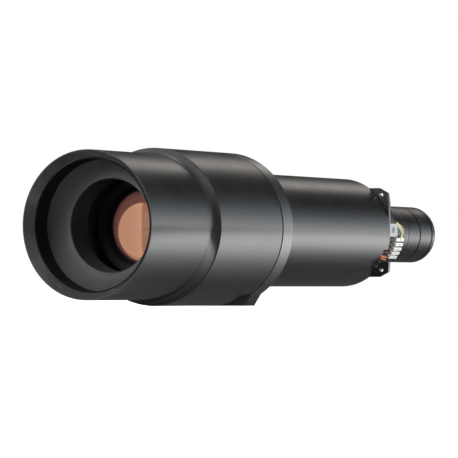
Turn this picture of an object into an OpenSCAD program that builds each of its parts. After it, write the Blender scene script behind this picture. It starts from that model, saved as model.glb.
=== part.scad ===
// Long throw zoom projection lens with motor focus and motor zoom, in millimetres.
// Turned pieces are drawn with X to the right, Y up and Z forward along the optical axis,
// with zero on the rear face of the mounting flange. The whole lens is then laid along Y,
// so that it looks towards -Y and its rear barrel points towards +Y.

/* [Hood] */
// Outer diameter of the hood
hood_d = 135; // [128:1:142]
// Length of the straight hood in front of the flare
hood_len = 106; // [98:1:120]
// Length of the hollow flare between the hood and the body
flare_len = 10; // [7:0.5:13]
// Wall of the hood behind the lip
hood_wall = 7.5; // [6.5:0.5:8.5]
// Radial width of the bevel inside the lip
lip_width = 6.2; // [5:0.1:6.4]
// Depth of the bevel inside the lip
lip_depth = 9.4; // [7:0.2:12]
// Depth of the plain bore behind the lip bevel
bore_len = 19.9; // [15:0.1:24]
// Length of the spigot that enters the body
spigot_len = 8; // [6:0.5:10]

/* [Light baffle] */
// Axial length of the funnel
funnel_len = 12.5; // [9:0.5:16]
// Diameter of the throat where the funnel ends
throat_d = 86.4; // [82:0.2:92]
// Diameter at the rear end of the throat
throat_end_d = 83.7; // [80:0.1:88]
// Length of the throat
throat_len = 28.4; // [22:0.2:32]
// Sheet thickness of the baffle
baffle_wall = 2.2; // [1.6:0.1:2.6]
// Length of the skirt that sits in the hood
skirt_len = 20; // [18:1:26]
// Length of the threaded ring that holds the skirt
skirt_ring_len = 4; // [3:0.5:6]

/* [Body] */
// Outer diameter of the body
body_d = 146; // [144:1:152]
// Length of the body between the flare and the mount ring
body_len = 120.5; // [118:0.5:135]
// Wall of the body in front of its inner shoulder
body_wall = 4; // [3.5:0.1:4.4]
// Radial step of the shoulder that the bulkhead sits on
body_step = 2; // [1.5:0.1:2.4]
// Bevel on the turned outer edges
edge_bevel = 0.5; // [0.2:0.1:0.9]

/* [Mount ring and foot] */
// Length of the mount ring
ring_len = 19; // [15:0.5:24]
// Drop of the foot below the body
foot_drop = 0.3; // [0.2:0.1:1]
// Width of the foot's flat base
foot_w = 62.6; // [54:0.2:70]
// Width of the foot where it leaves the ring
foot_top_w = 78; // [72:1:84]
// Height of the foot's sloping sides
foot_slope_h = 12.1; // [10:0.1:15]
// Distance between the two threaded holes in the foot
foot_hole_gap = 40; // [30:1:46]
// Core diameter of the threaded holes in the foot
foot_hole_d = 4.2; // [3.3:0.1:5]
// Depth of the threaded holes in the foot
foot_hole_depth = 10; // [8:0.5:11]

/* [Tube] */
// Outer diameter of the main tube
tube_d = 110; // [109:0.5:112]
// Length of the tube between the mount ring and the flange
tube_len = 244.5; // [235:0.5:260]
// Wall of the tube
tube_wall = 4; // [3.5:0.1:4.4]
// Radius to which the rear lip of the tube reaches inwards
lip_in_r = 44; // [43:0.2:45]
// Thickness of the tube's front flange and rear lip
tube_flange_t = 4; // [3.5:0.5:5]
// Outer radius of the tube's front flange
tube_flange_r = 62; // [61.5:0.1:62.5]

/* [Mounting flange] */
// Thickness of the flange plate
flange_t = 4; // [3:0.5:6]
// Height of the flange plate
flange_h = 90.4; // [90:0.1:93]
// Width of the flange plate
flange_w = 100; // [98:0.5:104]
// Width of the bevelled corners
corner_w = 11.5; // [10:0.5:12]
// Height of the bevelled corners
corner_h = 5.2; // [4:0.1:6]
// Outer diameter of the collar behind the plate
collar_d = 108; // [106:0.5:110]
// Wall of the collar
collar_wall = 4; // [3:0.5:5]
// Length of the collar
collar_len = 10; // [8:0.5:13]
// Top of the wiring window above the optical axis
window_top = 9; // [8:0.5:10]
// Bottom of the wiring window below the optical axis
window_bottom = 30; // [29:0.5:31]
// Distance between the mounting holes across the plate
mount_gap_x = 89; // [88.5:0.1:90]
// Distance between the mounting holes up the plate
mount_gap_z = 76; // [75:0.5:77]
// Diameter of the mounting holes
mount_hole_d = 4.5; // [4:0.1:4.8]

/* [Rear barrel] */
// Diameter of the barrel's front section
barrel_d = 61.2; // [60.6:0.1:61.8]
// Diameter of the barrel's rear sections
barrel_rear_d = 58.8; // [58:0.1:60]
// Reach of the front section behind the flange
barrel_front_len = 90; // [84:0.5:96]
// Length of each rear section
barrel_section_len = 28; // [25:0.5:31]
// Width of the turned grooves
groove_w = 1.1; // [0.6:0.1:1.6]
// Depth of the turned grooves
groove_depth = 1; // [0.6:0.1:1.4]
// Length of the end ring
end_ring_len = 10.5; // [8:0.5:14]
// Diameter of the end ring's opening
end_open_d = 46; // [42:0.5:48]
// Width of the spanner notches
notch_w = 4; // [3:0.2:5]

/* [Focus drive] */
// Outer diameter of the focus barrel
focus_d = 88; // [87:0.2:88.6]
// Length of the focus barrel
focus_len = 72; // [68:0.5:76]
// Reach of the focus barrel in front of the body
focus_reach = 24; // [20:0.5:26]
// Wall of the fixed focus guide
focus_guide_wall = 3.9; // [3.2:0.1:4.4]
// Focus travel to the front
focus_forward = 8; // [6:0.5:9]
// Focus travel to the rear
focus_back = 4; // [3:0.5:5]
// Distance of the bulkhead's rear face behind the body's front edge
bulkhead_back = 50.3; // [50:0.1:52]
// Thickness of the bulkhead's web
bulkhead_t = 6; // [5:0.5:7]

/* [Zoom drive] */
// Inner diameter of the fixed guide barrel
guide_in_d = 73; // [72:0.2:73.4]
// Wall of the guide barrel
guide_wall = 3.5; // [3:0.1:3.7]
// Wall of the cam barrel
cam_wall = 3.4; // [3:0.1:3.6]
// Length of the cam barrel
cam_len = 240; // [225:1:242]
// Travel of the variator
variator_travel = 60; // [50:1:64]
// Travel of the compensator
compensator_travel = 24; // [18:1:28]
// Turn of the cam barrel over the whole zoom range, in degrees
cam_turn = 90; // [70:1:100]
// Diameter of the cam rollers
roller_d = 5; // [4.4:0.1:5.6]
// Length of each carriage
carriage_len = 30; // [26:0.5:33]

/* [Gears and motors] */
// Tooth module of both ring gears and pinions
gear_module = 1.25; // [1.2:0.01:1.28]
// Teeth on each ring gear
ring_teeth = 80; // [80:2:82]
// Teeth on each pinion
pinion_teeth = 12; // [11:1:13]
// Width of the ring gears
gear_w = 8; // [6:0.5:9]
// Diameter of the gear motors
motor_d = 16; // [15:0.5:16.5]
// Length of the gear motors
motor_len = 30; // [26:0.5:32]
// Diameter of the motor shafts
shaft_d = 3; // [2.4:0.1:3.6]

/* [Lens elements] */
// Clear radius that the front retaining ring leaves
front_clear_r = 34.5; // [33:0.1:35]
// Radius of the front element
front_lens_r = 37.5; // [36.8:0.1:38]
// Radius of the moving elements
moving_lens_r = 29; // [27:0.5:30]
// Radius of the relay elements
relay_lens_r = 25; // [23:0.5:25.5]

/* [Wiring] */
// Width of each connector across its row
plug_w = 3.2; // [2.6:0.1:3.6]
// Height of the connectors above their holder
plug_h = 4.2; // [3.4:0.1:5]
// Length of each connector half
plug_len = 8.5; // [7:0.1:9.5]
// Angle between neighbouring connectors, in degrees
plug_pitch = 7.5; // [7:0.1:7.8]
// Diameter of each lead
lead_d = 1.5; // [1.1:0.1:1.5]
// Diameter of the harness sleeve
sleeve_d = 5.6; // [5.6:0.1:5.8]

/* [Fits] */
// Radial gap of running and seated round fits
fit = 0.1; // [0.05:0.01:0.1]
// Gap beside pieces that move past each other
free_gap = 0.3; // [0.25:0.05:0.4]

/* [Hidden] */

$fn = 96;
overrun = 1;

// Screws
screw_d = 3;
screw_head_d = 5.2;
screw_head_h = 2.6;
screw_len = 9;
socket_share = 0.5;
small_screw_d = 2.5;
small_head_d = 4.4;
small_head_h = 2.5;
small_head_depth = 3.5;

// Radii of the main turned pieces
hood_r = hood_d / 2;
bore_r = hood_r - hood_wall;
body_r = body_d / 2;
body_in_r = body_r - body_wall;
shoulder_r = body_in_r - body_step;
tube_r = tube_d / 2;
tube_in_r = tube_r - tube_wall;
focus_r = focus_d / 2;
guide_in_r = guide_in_d / 2;
guide_r = guide_in_r + guide_wall;
cam_in_r = guide_r + fit;
cam_r = cam_in_r + cam_wall;
barrel_r = barrel_d / 2;
barrel_rear_r = barrel_rear_d / 2;
collar_r = collar_d / 2;

// Gears
pressure_angle = 20;
addendum_share = 0.9;
dedendum_share = 1.25;
backlash = 0.25;
ring_pitch_r = gear_module * ring_teeth / 2;
pinion_pitch_r = gear_module * pinion_teeth / 2;
gear_centre_r = ring_pitch_r + pinion_pitch_r;
focus_motor_angle = 90;
zoom_motor_angle = 210;

// Stations along the axis, from the flange forwards
tube_rear = flange_t;
ring_rear = tube_rear + tube_len;
ring_front = ring_rear + ring_len;
spigot_front = ring_front + spigot_len;
tube_flange_rear = spigot_front - tube_flange_t;
body_front = ring_front + body_len;
flare_front = body_front + flare_len;
hood_front = flare_front + hood_len;
baffle_seat = hood_front - lip_depth - bore_len;
throat_front = baffle_seat - funnel_len;
throat_rear = throat_front - throat_len;
bulkhead_rear = body_front - bulkhead_back;
bulkhead_front = bulkhead_rear + bulkhead_t;
focus_ring_rear = bulkhead_front + free_gap;
focus_ring_lip = 2;
focus_ring_front = focus_ring_rear + gear_w + focus_ring_lip;
focus_guide_rear = focus_ring_front + free_gap;
focus_guide_flange_t = 5.5;
focus_guide_len = 46;
focus_guide_front = focus_guide_rear + focus_guide_len;
focus_front = body_front + focus_reach;
focus_rear = focus_front - focus_len;
lead_space = 8;
gear_plate_t = 4;
gear_plate_front = bulkhead_rear - motor_len - lead_space;
gear_plate_rear = gear_plate_front - gear_plate_t;
boss_len = 9.7;
guide_front = bulkhead_rear - boss_len;
guide_flange_t = 4;
guide_flange_r = 47.5;
cam_front = guide_front - guide_flange_t - free_gap;
cam_rear = cam_front - cam_len;
plate_gap = 2;
zoom_ring_front = gear_plate_rear - plate_gap;
zoom_ring_rear = zoom_ring_front - gear_w;
bulkhead_gap = 8;
rear_bulkhead_t = 8;
rear_bulkhead_rear = tube_rear + tube_flange_t + bulkhead_gap;
rear_bulkhead_front = rear_bulkhead_rear + rear_bulkhead_t;

// Lays the turned pieces along Y, looking towards -Y
module lens_axis() rotate([90, 0, 0]) children();

// Solid of revolution from points of radius and station
module turned(points) rotate_extrude() polygon(points);

// Plain cylinder between two stations
module rod(z_low, z_high, r) translate([0, 0, z_low]) cylinder(h = z_high - z_low, r = r);

// Straight tube between two stations
module sleeve(z_low, z_high, outer_r, inner_r) difference() {
    rod(z_low, z_high, outer_r);
    rod(z_low - overrun, z_high + overrun, inner_r);
}

// Copies children round the axis at each angle of a list
module at_angles(angles, r) for (a = angles) rotate([0, 0, a]) translate([r, 0, 0]) children();

// Cap screw with its head's underside at zero and its head towards +Z
module cap_screw(d, head_d, head_h, len) difference() {
    union() {
        rod(-len, 0, d / 2);
        rod(0, head_h, head_d / 2);
    }
    translate([0, 0, head_h - head_h * socket_share])
        cylinder(h = head_h * socket_share + overrun, r = d / 2, $fn = 6);
}

function polar(r, a) = [r * cos(a), r * sin(a)];
function sag(r, curve) = abs(curve) - sqrt(curve * curve - r * r);

// Angle of an involute flank from its tooth's centre line at radius r
function involute(r, base_r) = let (a = acos(min(1, base_r / r))) tan(a) * 180 / PI - a;
function flank(r, pitch_r, base_r, teeth) =
    90 / teeth - backlash / pitch_r * 90 / PI
    + involute(pitch_r, base_r) - involute(max(r, base_r), base_r);

// Outline of an external gear with a tooth on the X axis
function gear_points(teeth) = let (
    pitch_r = gear_module * teeth / 2,
    base_r = pitch_r * cos(pressure_angle),
    radii = [
        pitch_r - dedendum_share * gear_module, pitch_r, pitch_r + addendum_share * gear_module
    ]
) [
    for (i = [0 : teeth - 1]) each concat(
        [for (r = radii) polar(r, i * 360 / teeth - flank(r, pitch_r, base_r, teeth))],
        [for (k = [2 : -1 : 0])
            polar(radii[k], i * 360 / teeth + flank(radii[k], pitch_r, base_r, teeth))]
    )
];

// Large sphere that shapes the face of a lens
ball_steps = 180;
module ball(r) sphere(r = r, $fn = ball_steps);

// Lens element whose flat rim lies behind z and is cut to a curve within its clear radius.
// A curve is bulging when positive and hollow when negative.
module element(z, r, clear_r, edge_t, front_curve, back_curve) difference() {
    union() {
        rod(z - edge_t, z, r);
        if (front_curve > 0) intersection() {
            rod(z - edge_t / 2, z + front_curve, clear_r);
            translate([0, 0, z + sag(clear_r, front_curve) - front_curve]) ball(front_curve);
        }
        if (back_curve > 0) intersection() {
            rod(z - edge_t - back_curve, z - edge_t / 2, clear_r);
            translate([0, 0, z - edge_t - sag(clear_r, back_curve) + back_curve]) ball(back_curve);
        }
    }
    if (front_curve < 0)
        translate([0, 0, z - sag(clear_r, front_curve) - front_curve]) ball(-front_curve);
    if (back_curve < 0)
        translate([0, 0, z - edge_t + sag(clear_r, back_curve) + back_curve]) ball(-back_curve);
}

// Points of a smooth curve through the given points, with steps between each pair
function smooth(p, steps) = [
    for (i = [0 : len(p) - 2]) for (k = [0 : steps - 1]) let (
        t = k / steps, a = p[max(i - 1, 0)], b = p[i], c = p[i + 1], e = p[min(i + 2, len(p) - 1)]
    ) 0.5 * (2 * b + (c - a) * t + (2 * a - 5 * b + 4 * c - e) * t * t
        + (3 * b - a - 3 * c + e) * t * t * t),
    p[len(p) - 1]
];
function unit(v) = v / norm(v);

// Skin over rings of points, with the same count in every ring
function skin_faces(rings, sides) = concat(
    [[for (k = [0 : sides - 1]) k]],
    [[for (k = [sides - 1 : -1 : 0]) (rings - 1) * sides + k]],
    [for (i = [0 : rings - 2]) for (k = [0 : sides - 1]) each [
        [i * sides + (k + 1) % sides, i * sides + k, (i + 1) * sides + k],
        [i * sides + (k + 1) % sides, (i + 1) * sides + k, (i + 1) * sides + (k + 1) % sides]
    ]]
);

// Round lead swept along a route of points chosen by hand, square at both ends
lead_sides = 8;
lead_steps = 3;
function square_to(u, way) = unit(u - (u * way) * way);
module lead(route) {
    path = smooth(route, lead_steps);
    last = len(path) - 1;
    end = len(route) - 1;
    ways = [for (i = [0 : last]) unit(
        i == 0 ? route[1] - route[0] : i == last ? route[end] - route[end - 1]
        : path[i + 1] - path[i - 1]
    )];
    sideways = [for (i = 0, u = square_to([1, 0, 0], ways[0]); i <= last;
        i = i + 1, u = square_to(u, ways[min(i, last)])) u];
    points = [for (i = [0 : last]) let (u = sideways[i], v = cross(ways[i], u))
        for (k = [0 : lead_sides - 1]) let (a = 360 * k / lead_sides)
            path[i] + lead_d / 2 * (cos(a) * u + sin(a) * v)];
    polyhedron(points, skin_faces(last + 1, lead_sides));
}

// Radial pin whose foot and top lie at two radii, at an angle and a station
module radial_pin(angle, z, low_r, high_r, d)
    rotate([0, 0, angle]) translate([low_r, 0, z]) rotate([0, 90, 0])
        cylinder(h = high_r - low_r, d = d, $fn = 48);

// Straight slot along the axis with round ends, centred on the stations of its ends
module straight_slot(angle, z_low, z_high, low_r, high_r, w) {
    rotate([0, 0, angle]) translate([low_r, -w / 2, z_low]) cube([high_r - low_r, w, z_high - z_low]);
    radial_pin(angle, z_low, low_r, high_r, w);
    radial_pin(angle, z_high, low_r, high_r, w);
}

// Slanting slot that climbs steadily from one angle and station to another. Its ends are holes
// that were drilled first, a little wider and deeper than the milled slot.
slot_steps = 18;
end_relief = 0.15;
module helical_slot(from, to, low_r, high_r, w) {
    mid_r = (low_r + high_r) / 2;
    way = unit([mid_r * (to[0] - from[0]) * PI / 180, to[1] - from[1]]);
    points = [for (i = [0 : slot_steps]) let (p = from + (to - from) * i / slot_steps)
        for (c = [[low_r, -1], [low_r, 1], [high_r, 1], [high_r, -1]])
            concat(
                polar(c[0], p[0] - c[1] * way[1] * w / 2 / c[0] * 180 / PI),
                p[1] + c[1] * way[0] * w / 2
            )];
    polyhedron(points, skin_faces(slot_steps + 1, 4));
    for (p = [from, to])
        radial_pin(p[0], p[1], low_r - end_relief, high_r + end_relief, w + 2 * end_relief);
}

// Hood
flare_steps = 10;
rim_land = 0.7;

module front_hood() color("#1b1c1e") lens_axis() turned(concat(
    [
        [bore_r, baffle_seat], [hood_r - rim_land - lip_width, hood_front - lip_depth],
        [hood_r - rim_land, hood_front], [hood_r - edge_bevel / 2, hood_front],
        [hood_r, hood_front - edge_bevel / 2]
    ],
    [for (i = [0 : flare_steps]) let (t = 90 * i / flare_steps) [
        hood_r + (body_r - edge_bevel - hood_r) * (1 - cos(t)), flare_front - flare_len * sin(t)
    ]],
    [
        [body_in_r - fit, body_front], [body_in_r - fit, body_front - spigot_len],
        [bore_r, body_front - spigot_len]
    ]
));

// Light baffle
baffle_r = bore_r - fit;

module front_baffle() color("#2a2b2d") lens_axis() turned([
    [baffle_r, baffle_seat], [throat_d / 2, throat_front], [throat_end_d / 2, throat_rear],
    [throat_end_d / 2 + baffle_wall, throat_rear], [throat_d / 2 + baffle_wall, throat_front - baffle_wall],
    [baffle_r - baffle_wall, baffle_seat - 2 * baffle_wall], [baffle_r - baffle_wall, baffle_seat - skirt_len],
    [baffle_r, baffle_seat - skirt_len]
]);

module baffle_ring() color("#202123") lens_axis() difference() {
    sleeve(baffle_seat - skirt_len - skirt_ring_len, baffle_seat - skirt_len, baffle_r, baffle_r - 2 * baffle_wall);
    at_angles([90, 270], baffle_r - 2 * baffle_wall)
        rod(baffle_seat - skirt_len - skirt_ring_len - overrun, baffle_seat - skirt_len - skirt_ring_len / 2, notch_w / 2);
}

// Body
ring_screw_r = body_r - (body_wall + body_step) / 2;
ring_screw_angles = [0, 60, 120, 180, 240, 300];

module body_shell() color("#202123") lens_axis() difference() {
    turned([
        [shoulder_r, ring_front], [body_r - edge_bevel, ring_front], [body_r, ring_front + edge_bevel],
        [body_r, body_front - edge_bevel], [body_r - edge_bevel, body_front],
        [body_in_r, body_front], [body_in_r, bulkhead_rear], [shoulder_r, bulkhead_rear]
    ]);
    at_angles(ring_screw_angles, ring_screw_r)
        rod(ring_front - overrun, ring_front + screw_len, small_screw_d / 2);
}

// Mount ring with its foot
foot_base = body_r + foot_drop;
tube_screw_r = (tube_r + tube_flange_r) / 2;
tube_screw_angles = [30, 90, 150, 210, 270, 330];

module foot_block() difference() {
    translate([0, 0, ring_rear]) linear_extrude(ring_len) polygon([
        [-foot_w / 2, -foot_base], [foot_w / 2, -foot_base],
        [foot_top_w / 2, foot_slope_h - foot_base], [-foot_top_w / 2, foot_slope_h - foot_base]
    ]);
    rod(ring_rear - overrun, ring_front + overrun, body_r - 2 * edge_bevel);
}

module mount_ring() color("#232426") lens_axis() difference() {
    union() {
        turned([
            [tube_r, ring_rear], [body_r - edge_bevel, ring_rear], [body_r, ring_rear + edge_bevel],
            [body_r, ring_front - edge_bevel], [body_r - edge_bevel, ring_front],
            [shoulder_r - fit, ring_front], [shoulder_r - fit, spigot_front], [tube_r, spigot_front]
        ]);
        foot_block();
    }
    rod(ring_rear - overrun, spigot_front + overrun, tube_r + fit);
    rod(tube_flange_rear, spigot_front + overrun, tube_flange_r + fit);
    at_angles(ring_screw_angles, ring_screw_r) {
        rod(ring_rear - overrun, ring_front + overrun, small_screw_d / 2 + fit);
        rod(ring_rear - overrun, ring_rear + small_head_depth, small_head_d / 2 + fit);
    }
    at_angles(tube_screw_angles, tube_screw_r)
        rod(tube_flange_rear - screw_len, tube_flange_rear + overrun, screw_d / 2);
    for (side = [-1, 1])
        translate([side * foot_hole_gap / 2, -foot_base - overrun, (ring_rear + ring_front) / 2])
            rotate([-90, 0, 0]) cylinder(h = foot_hole_depth + overrun, d = foot_hole_d);
}

module ring_screws() color("#3a3b3d") lens_axis()
    at_angles(ring_screw_angles, ring_screw_r) translate([0, 0, ring_rear + small_head_depth])
        rotate([180, 0, 0])
            cap_screw(small_screw_d, small_head_d, small_head_h, ring_len - small_head_depth + screw_len - overrun);

// Tube
notch_angles = [-34, -19];
notch_depth = 9;
flange_screw_r = 47.2;
flange_screw_angles = [42, 138, 222, 318];
window_inset = 2.6;

// Opening through which the wiring leaves the tube, between two stations
module wiring_window(z_low, z_high)
    translate([barrel_r + window_inset, -window_bottom, z_low])
        cube([collar_d, window_bottom + window_top, z_high - z_low]);

// Wedge that cuts the notch for the orange leads in the tube's rear rim
module rim_notch() {
    reach = tube_r + 2 * overrun;
    translate([0, 0, tube_rear - overrun]) linear_extrude(notch_depth + overrun) polygon([
        polar(tube_in_r - overrun, notch_angles[0]), polar(reach, notch_angles[0]),
        polar(reach, notch_angles[1]), polar(tube_in_r - overrun, notch_angles[1])
    ]);
}

module main_tube() color("#1e1f21") lens_axis() difference() {
    turned([
        [tube_r, tube_rear], [tube_r, tube_flange_rear], [tube_flange_r, tube_flange_rear],
        [tube_flange_r, spigot_front], [tube_in_r, spigot_front],
        [tube_in_r, tube_rear + tube_flange_t], [lip_in_r, tube_rear + tube_flange_t], [lip_in_r, tube_rear]
    ]);
    at_angles(tube_screw_angles, tube_screw_r)
        rod(tube_flange_rear - overrun, spigot_front + overrun, screw_d / 2 + fit);
    at_angles(flange_screw_angles, flange_screw_r)
        rod(tube_rear - overrun, tube_rear + tube_flange_t + overrun, screw_d / 2);
    intersection() {
        wiring_window(tube_rear - overrun, tube_rear + tube_flange_t + overrun);
        rod(tube_rear - overrun, tube_rear + tube_flange_t + overrun, tube_in_r);
    }
    rim_notch();
}

module tube_screws() color("#3a3b3d") lens_axis()
    at_angles(tube_screw_angles, tube_screw_r)
        translate([0, 0, spigot_front]) cap_screw(screw_d, screw_head_d, screw_head_h, screw_len);

// Mounting flange with its collar and the wiring window
shoulder_w = 1.6;
shoulder_h = 10;

// Right side of the plate, from bottom to top
flange_side = [
    [flange_w / 2 - corner_w, -flange_h / 2], [flange_w / 2 - shoulder_w / 2, corner_h - flange_h / 2],
    [flange_w / 2, corner_h + shoulder_h - flange_h / 2], [flange_w / 2, flange_h / 2 - corner_h - shoulder_h],
    [flange_w / 2 - shoulder_w, flange_h / 2 - corner_h], [flange_w / 2 - corner_w, flange_h / 2]
];
flange_outline = concat(flange_side, [for (i = [5 : -1 : 0]) [-flange_side[i][0], flange_side[i][1]]]);

module mount_flange() color("#141416") lens_axis() difference() {
    union() {
        linear_extrude(flange_t) polygon(flange_outline);
        intersection() {
            sleeve(-collar_len, flange_t / 2, collar_r, collar_r - collar_wall);
            translate([-collar_d / 2, -flange_h / 2, -collar_len])
                cube([collar_d, flange_h, collar_len + flange_t / 2]);
        }
    }
    rod(-overrun, flange_t + overrun, barrel_r + free_gap);
    wiring_window(-collar_len - overrun, flange_t + overrun);
    for (sx = [-1, 1]) for (sy = [-1, 1])
        translate([sx * mount_gap_x / 2, sy * mount_gap_z / 2, -overrun])
            cylinder(h = flange_t + 2 * overrun, d = mount_hole_d);
    at_angles(flange_screw_angles, flange_screw_r) rod(-overrun, flange_t + overrun, screw_d / 2 + fit);
}

module flange_screws() color("#3a3b3d") lens_axis()
    at_angles(flange_screw_angles, flange_screw_r) rotate([180, 0, 0])
        cap_screw(screw_d, screw_head_d, screw_head_h, flange_t + tube_flange_t);

// Rear bulkhead, which carries the guide barrel and the rear barrel
socket_len = 6;
socket_wall = 3;
barrel_flange_r = 38;
barrel_flange_t = 4;
barrel_screw_r = 34.4;
barrel_screw_angles = [0, 60, 120, 180, 240, 300];
sleeve_angle = -28;
sleeve_r = tube_in_r - sleeve_d / 2 - fit;

module rear_bulkhead() color("#4a4b4e") lens_axis() difference() {
    union() {
        rod(rear_bulkhead_rear, rear_bulkhead_front, tube_in_r - fit);
        rod(rear_bulkhead_front - overrun, rear_bulkhead_front + socket_len, guide_r + fit + socket_wall);
        sleeve(tube_rear + tube_flange_t, rear_bulkhead_rear + overrun, tube_in_r - fit, tube_in_r - fit - socket_wall);
    }
    rod(rear_bulkhead_rear - overrun, rear_bulkhead_front + overrun, relay_lens_r + overrun);
    rod(rear_bulkhead_front, rear_bulkhead_front + socket_len + overrun, guide_r + fit);
    at_angles(barrel_screw_angles, barrel_screw_r)
        rod(rear_bulkhead_rear - overrun, rear_bulkhead_rear + screw_len / 2, screw_d / 2);
    rotate([0, 0, sleeve_angle]) translate([sleeve_r, 0, tube_rear]) {
        cylinder(h = rear_bulkhead_front + socket_len, r = sleeve_d / 2 + free_gap);
        translate([0, -sleeve_d / 2 - free_gap, 0])
            cube([tube_wall + sleeve_d, sleeve_d + 2 * free_gap, rear_bulkhead_front + socket_len]);
    }
    wiring_window(tube_rear, rear_bulkhead_rear);
}

// Rear barrel with its grooves
groove_1 = -barrel_front_len;
groove_2 = groove_1 - barrel_section_len;
barrel_end = groove_2 - barrel_section_len;
lens_end = barrel_end - end_ring_len;
relay_bore_r = relay_lens_r + fit;
relay_lip = 2;
taper_len = 22;
end_thread = 4;
relay_seat = barrel_end + end_thread;
rear_lens_t = 7;
spacer_len = 30;
relay_back_t = 6;
relay_front_t = 8;
relay_back_front = relay_seat + rear_lens_t + spacer_len + relay_back_t;
relay_shoulder = relay_back_front + relay_front_t;

module rear_barrel() color("#2b2c2e") lens_axis() difference() {
    turned([
        [relay_bore_r - relay_lip, rear_bulkhead_rear], [barrel_flange_r, rear_bulkhead_rear],
        [barrel_flange_r, rear_bulkhead_rear - barrel_flange_t], [barrel_r, rear_bulkhead_rear - barrel_flange_t],
        [barrel_r, groove_1 + taper_len], [barrel_rear_r + groove_depth / 2, groove_1],
        [barrel_rear_r - groove_depth, groove_1], [barrel_rear_r - groove_depth, groove_1 - groove_w],
        [barrel_rear_r, groove_1 - groove_w], [barrel_rear_r, groove_2],
        [barrel_rear_r - groove_depth, groove_2], [barrel_rear_r - groove_depth, groove_2 - groove_w],
        [barrel_rear_r, groove_2 - groove_w], [barrel_rear_r, barrel_end],
        [relay_bore_r, barrel_end], [relay_bore_r, relay_shoulder], [relay_bore_r - relay_lip, relay_shoulder]
    ]);
    at_angles(barrel_screw_angles, barrel_screw_r)
        rod(rear_bulkhead_rear - barrel_flange_t - overrun, rear_bulkhead_rear + overrun, screw_d / 2 + fit);
}

module barrel_screws() color("#3a3b3d") lens_axis()
    at_angles(barrel_screw_angles, barrel_screw_r)
        translate([0, 0, rear_bulkhead_rear - barrel_flange_t]) rotate([180, 0, 0])
            cap_screw(screw_d, screw_head_d, screw_head_h, barrel_flange_t + screw_len / 2);

end_round = 2;
round_share = 0.3;
notch_spin = [6, 186];

module end_ring() color("#2b2c2e") lens_axis() difference() {
    turned([
        [end_open_d / 2, relay_seat], [relay_lens_r, relay_seat], [relay_lens_r, barrel_end],
        [barrel_rear_r - groove_depth, barrel_end], [barrel_rear_r - groove_depth, barrel_end - groove_w],
        [barrel_rear_r, barrel_end - groove_w], [barrel_rear_r, lens_end + end_round],
        [barrel_rear_r - end_round * round_share, lens_end + end_round * round_share],
        [barrel_rear_r - end_round, lens_end], [end_open_d / 2, lens_end]
    ]);
    at_angles(notch_spin, barrel_rear_r - notch_w)
        translate([0, -notch_w / 2, lens_end - overrun]) cube([notch_w + overrun, notch_w, notch_w / 2 + overrun]);
}

// Relay elements in the rear barrel, from the back
rear_lens_curve = 90;
relay_back_curve = 120;
relay_front_curve = 140;
relay_wall = 2;

// Glass of the relay with the flat rim that its rings and the spacer press on
module relay_element(z, edge_t, front_curve, back_curve) color("#b9c4c8") lens_axis()
    element(z, relay_lens_r, relay_lens_r - relay_wall, edge_t, front_curve, back_curve);

module rear_lens()
    relay_element(relay_seat + rear_lens_t, rear_lens_t, rear_lens_curve, -rear_lens_curve);

module relay_spacer() color("#2f3033") lens_axis() sleeve(
    relay_seat + rear_lens_t, relay_seat + rear_lens_t + spacer_len,
    relay_lens_r, relay_lens_r - relay_wall
);

module relay_lens_back()
    relay_element(relay_back_front, relay_back_t, -relay_front_curve, relay_back_curve);

module relay_lens_front()
    relay_element(relay_shoulder, relay_front_t, -relay_back_curve, -relay_front_curve);

// Connectors on their holder behind the flange
holder_t = 4;
holder_front = -34;
holder_margin = 6.5;
plug_count = 5;
plug_gap = 0.5;
boot_len = 10;
first_plug_angle = -10.2;
holder_r = barrel_r + fit + holder_t;
plug_angles = [for (i = [0 : plug_count - 1]) first_plug_angle - plug_pitch * i];
plug_front = holder_front - boot_len;
plug_rear = plug_front - plug_len;
header_front = plug_rear - plug_gap;
header_rear = header_front - plug_len;
holder_rear = header_rear - holder_margin;

// Half space on one side of a plane through the axis, between the holder's ends
module holder_cut(angle) rotate([0, 0, angle])
    translate([-2 * holder_r, 0, holder_rear - overrun])
        cube([4 * holder_r, 2 * holder_r, holder_front - holder_rear + 2 * overrun]);

module connector_holder() color("#0f0f10") lens_axis() difference() {
    sleeve(holder_rear, holder_front, holder_r, barrel_r + fit);
    holder_cut(first_plug_angle + plug_pitch);
    holder_cut(first_plug_angle - plug_pitch * plug_count + 180);
}

module header_row() color("#f2f1ee") lens_axis() at_angles(plug_angles, holder_r)
    translate([0, -plug_w / 2, header_rear]) cube([plug_h, plug_w, plug_len]);

module plug_row() color("#f7f6f3") lens_axis() at_angles(plug_angles, holder_r)
    translate([0, -plug_w / 2, plug_rear]) cube([plug_h, plug_w, plug_len]);

module plug_boots() color("#6f655f") lens_axis() at_angles(plug_angles, holder_r)
    translate([0, (plug_gap - plug_w) / 2, plug_front])
        cube([plug_h - plug_gap, plug_w - plug_gap, boot_len]);

// Cable clamp beside the wiring window
clamp_low = -4;
clamp_high = 9.5;
clamp_in = 36;
clamp_t = 9;
clamp_front = -14;
clamp_rear = -33;
clamp_arm_low = 5;
clamp_arm_high = 14.5;
clamp_hole_d = 6.4;

module cable_clamp() color("#9b9ca0") lens_axis() difference() {
    union() {
        translate([clamp_in, clamp_low, clamp_rear])
            cube([clamp_t, clamp_high - clamp_low, clamp_front - clamp_rear]);
        translate([clamp_in + overrun, clamp_arm_low, clamp_front - overrun])
            cube([clamp_t - 2 * overrun, clamp_arm_high - clamp_arm_low, overrun - clamp_front]);
    }
    translate([clamp_in - overrun, (clamp_low + clamp_high) / 2, (clamp_front + clamp_rear) / 2])
        rotate([0, 90, 0]) cylinder(h = clamp_t + 2 * overrun, d = clamp_hole_d);
    at_clamp_screw() rod(-screw_len, overrun, screw_d / 2);
}

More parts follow.
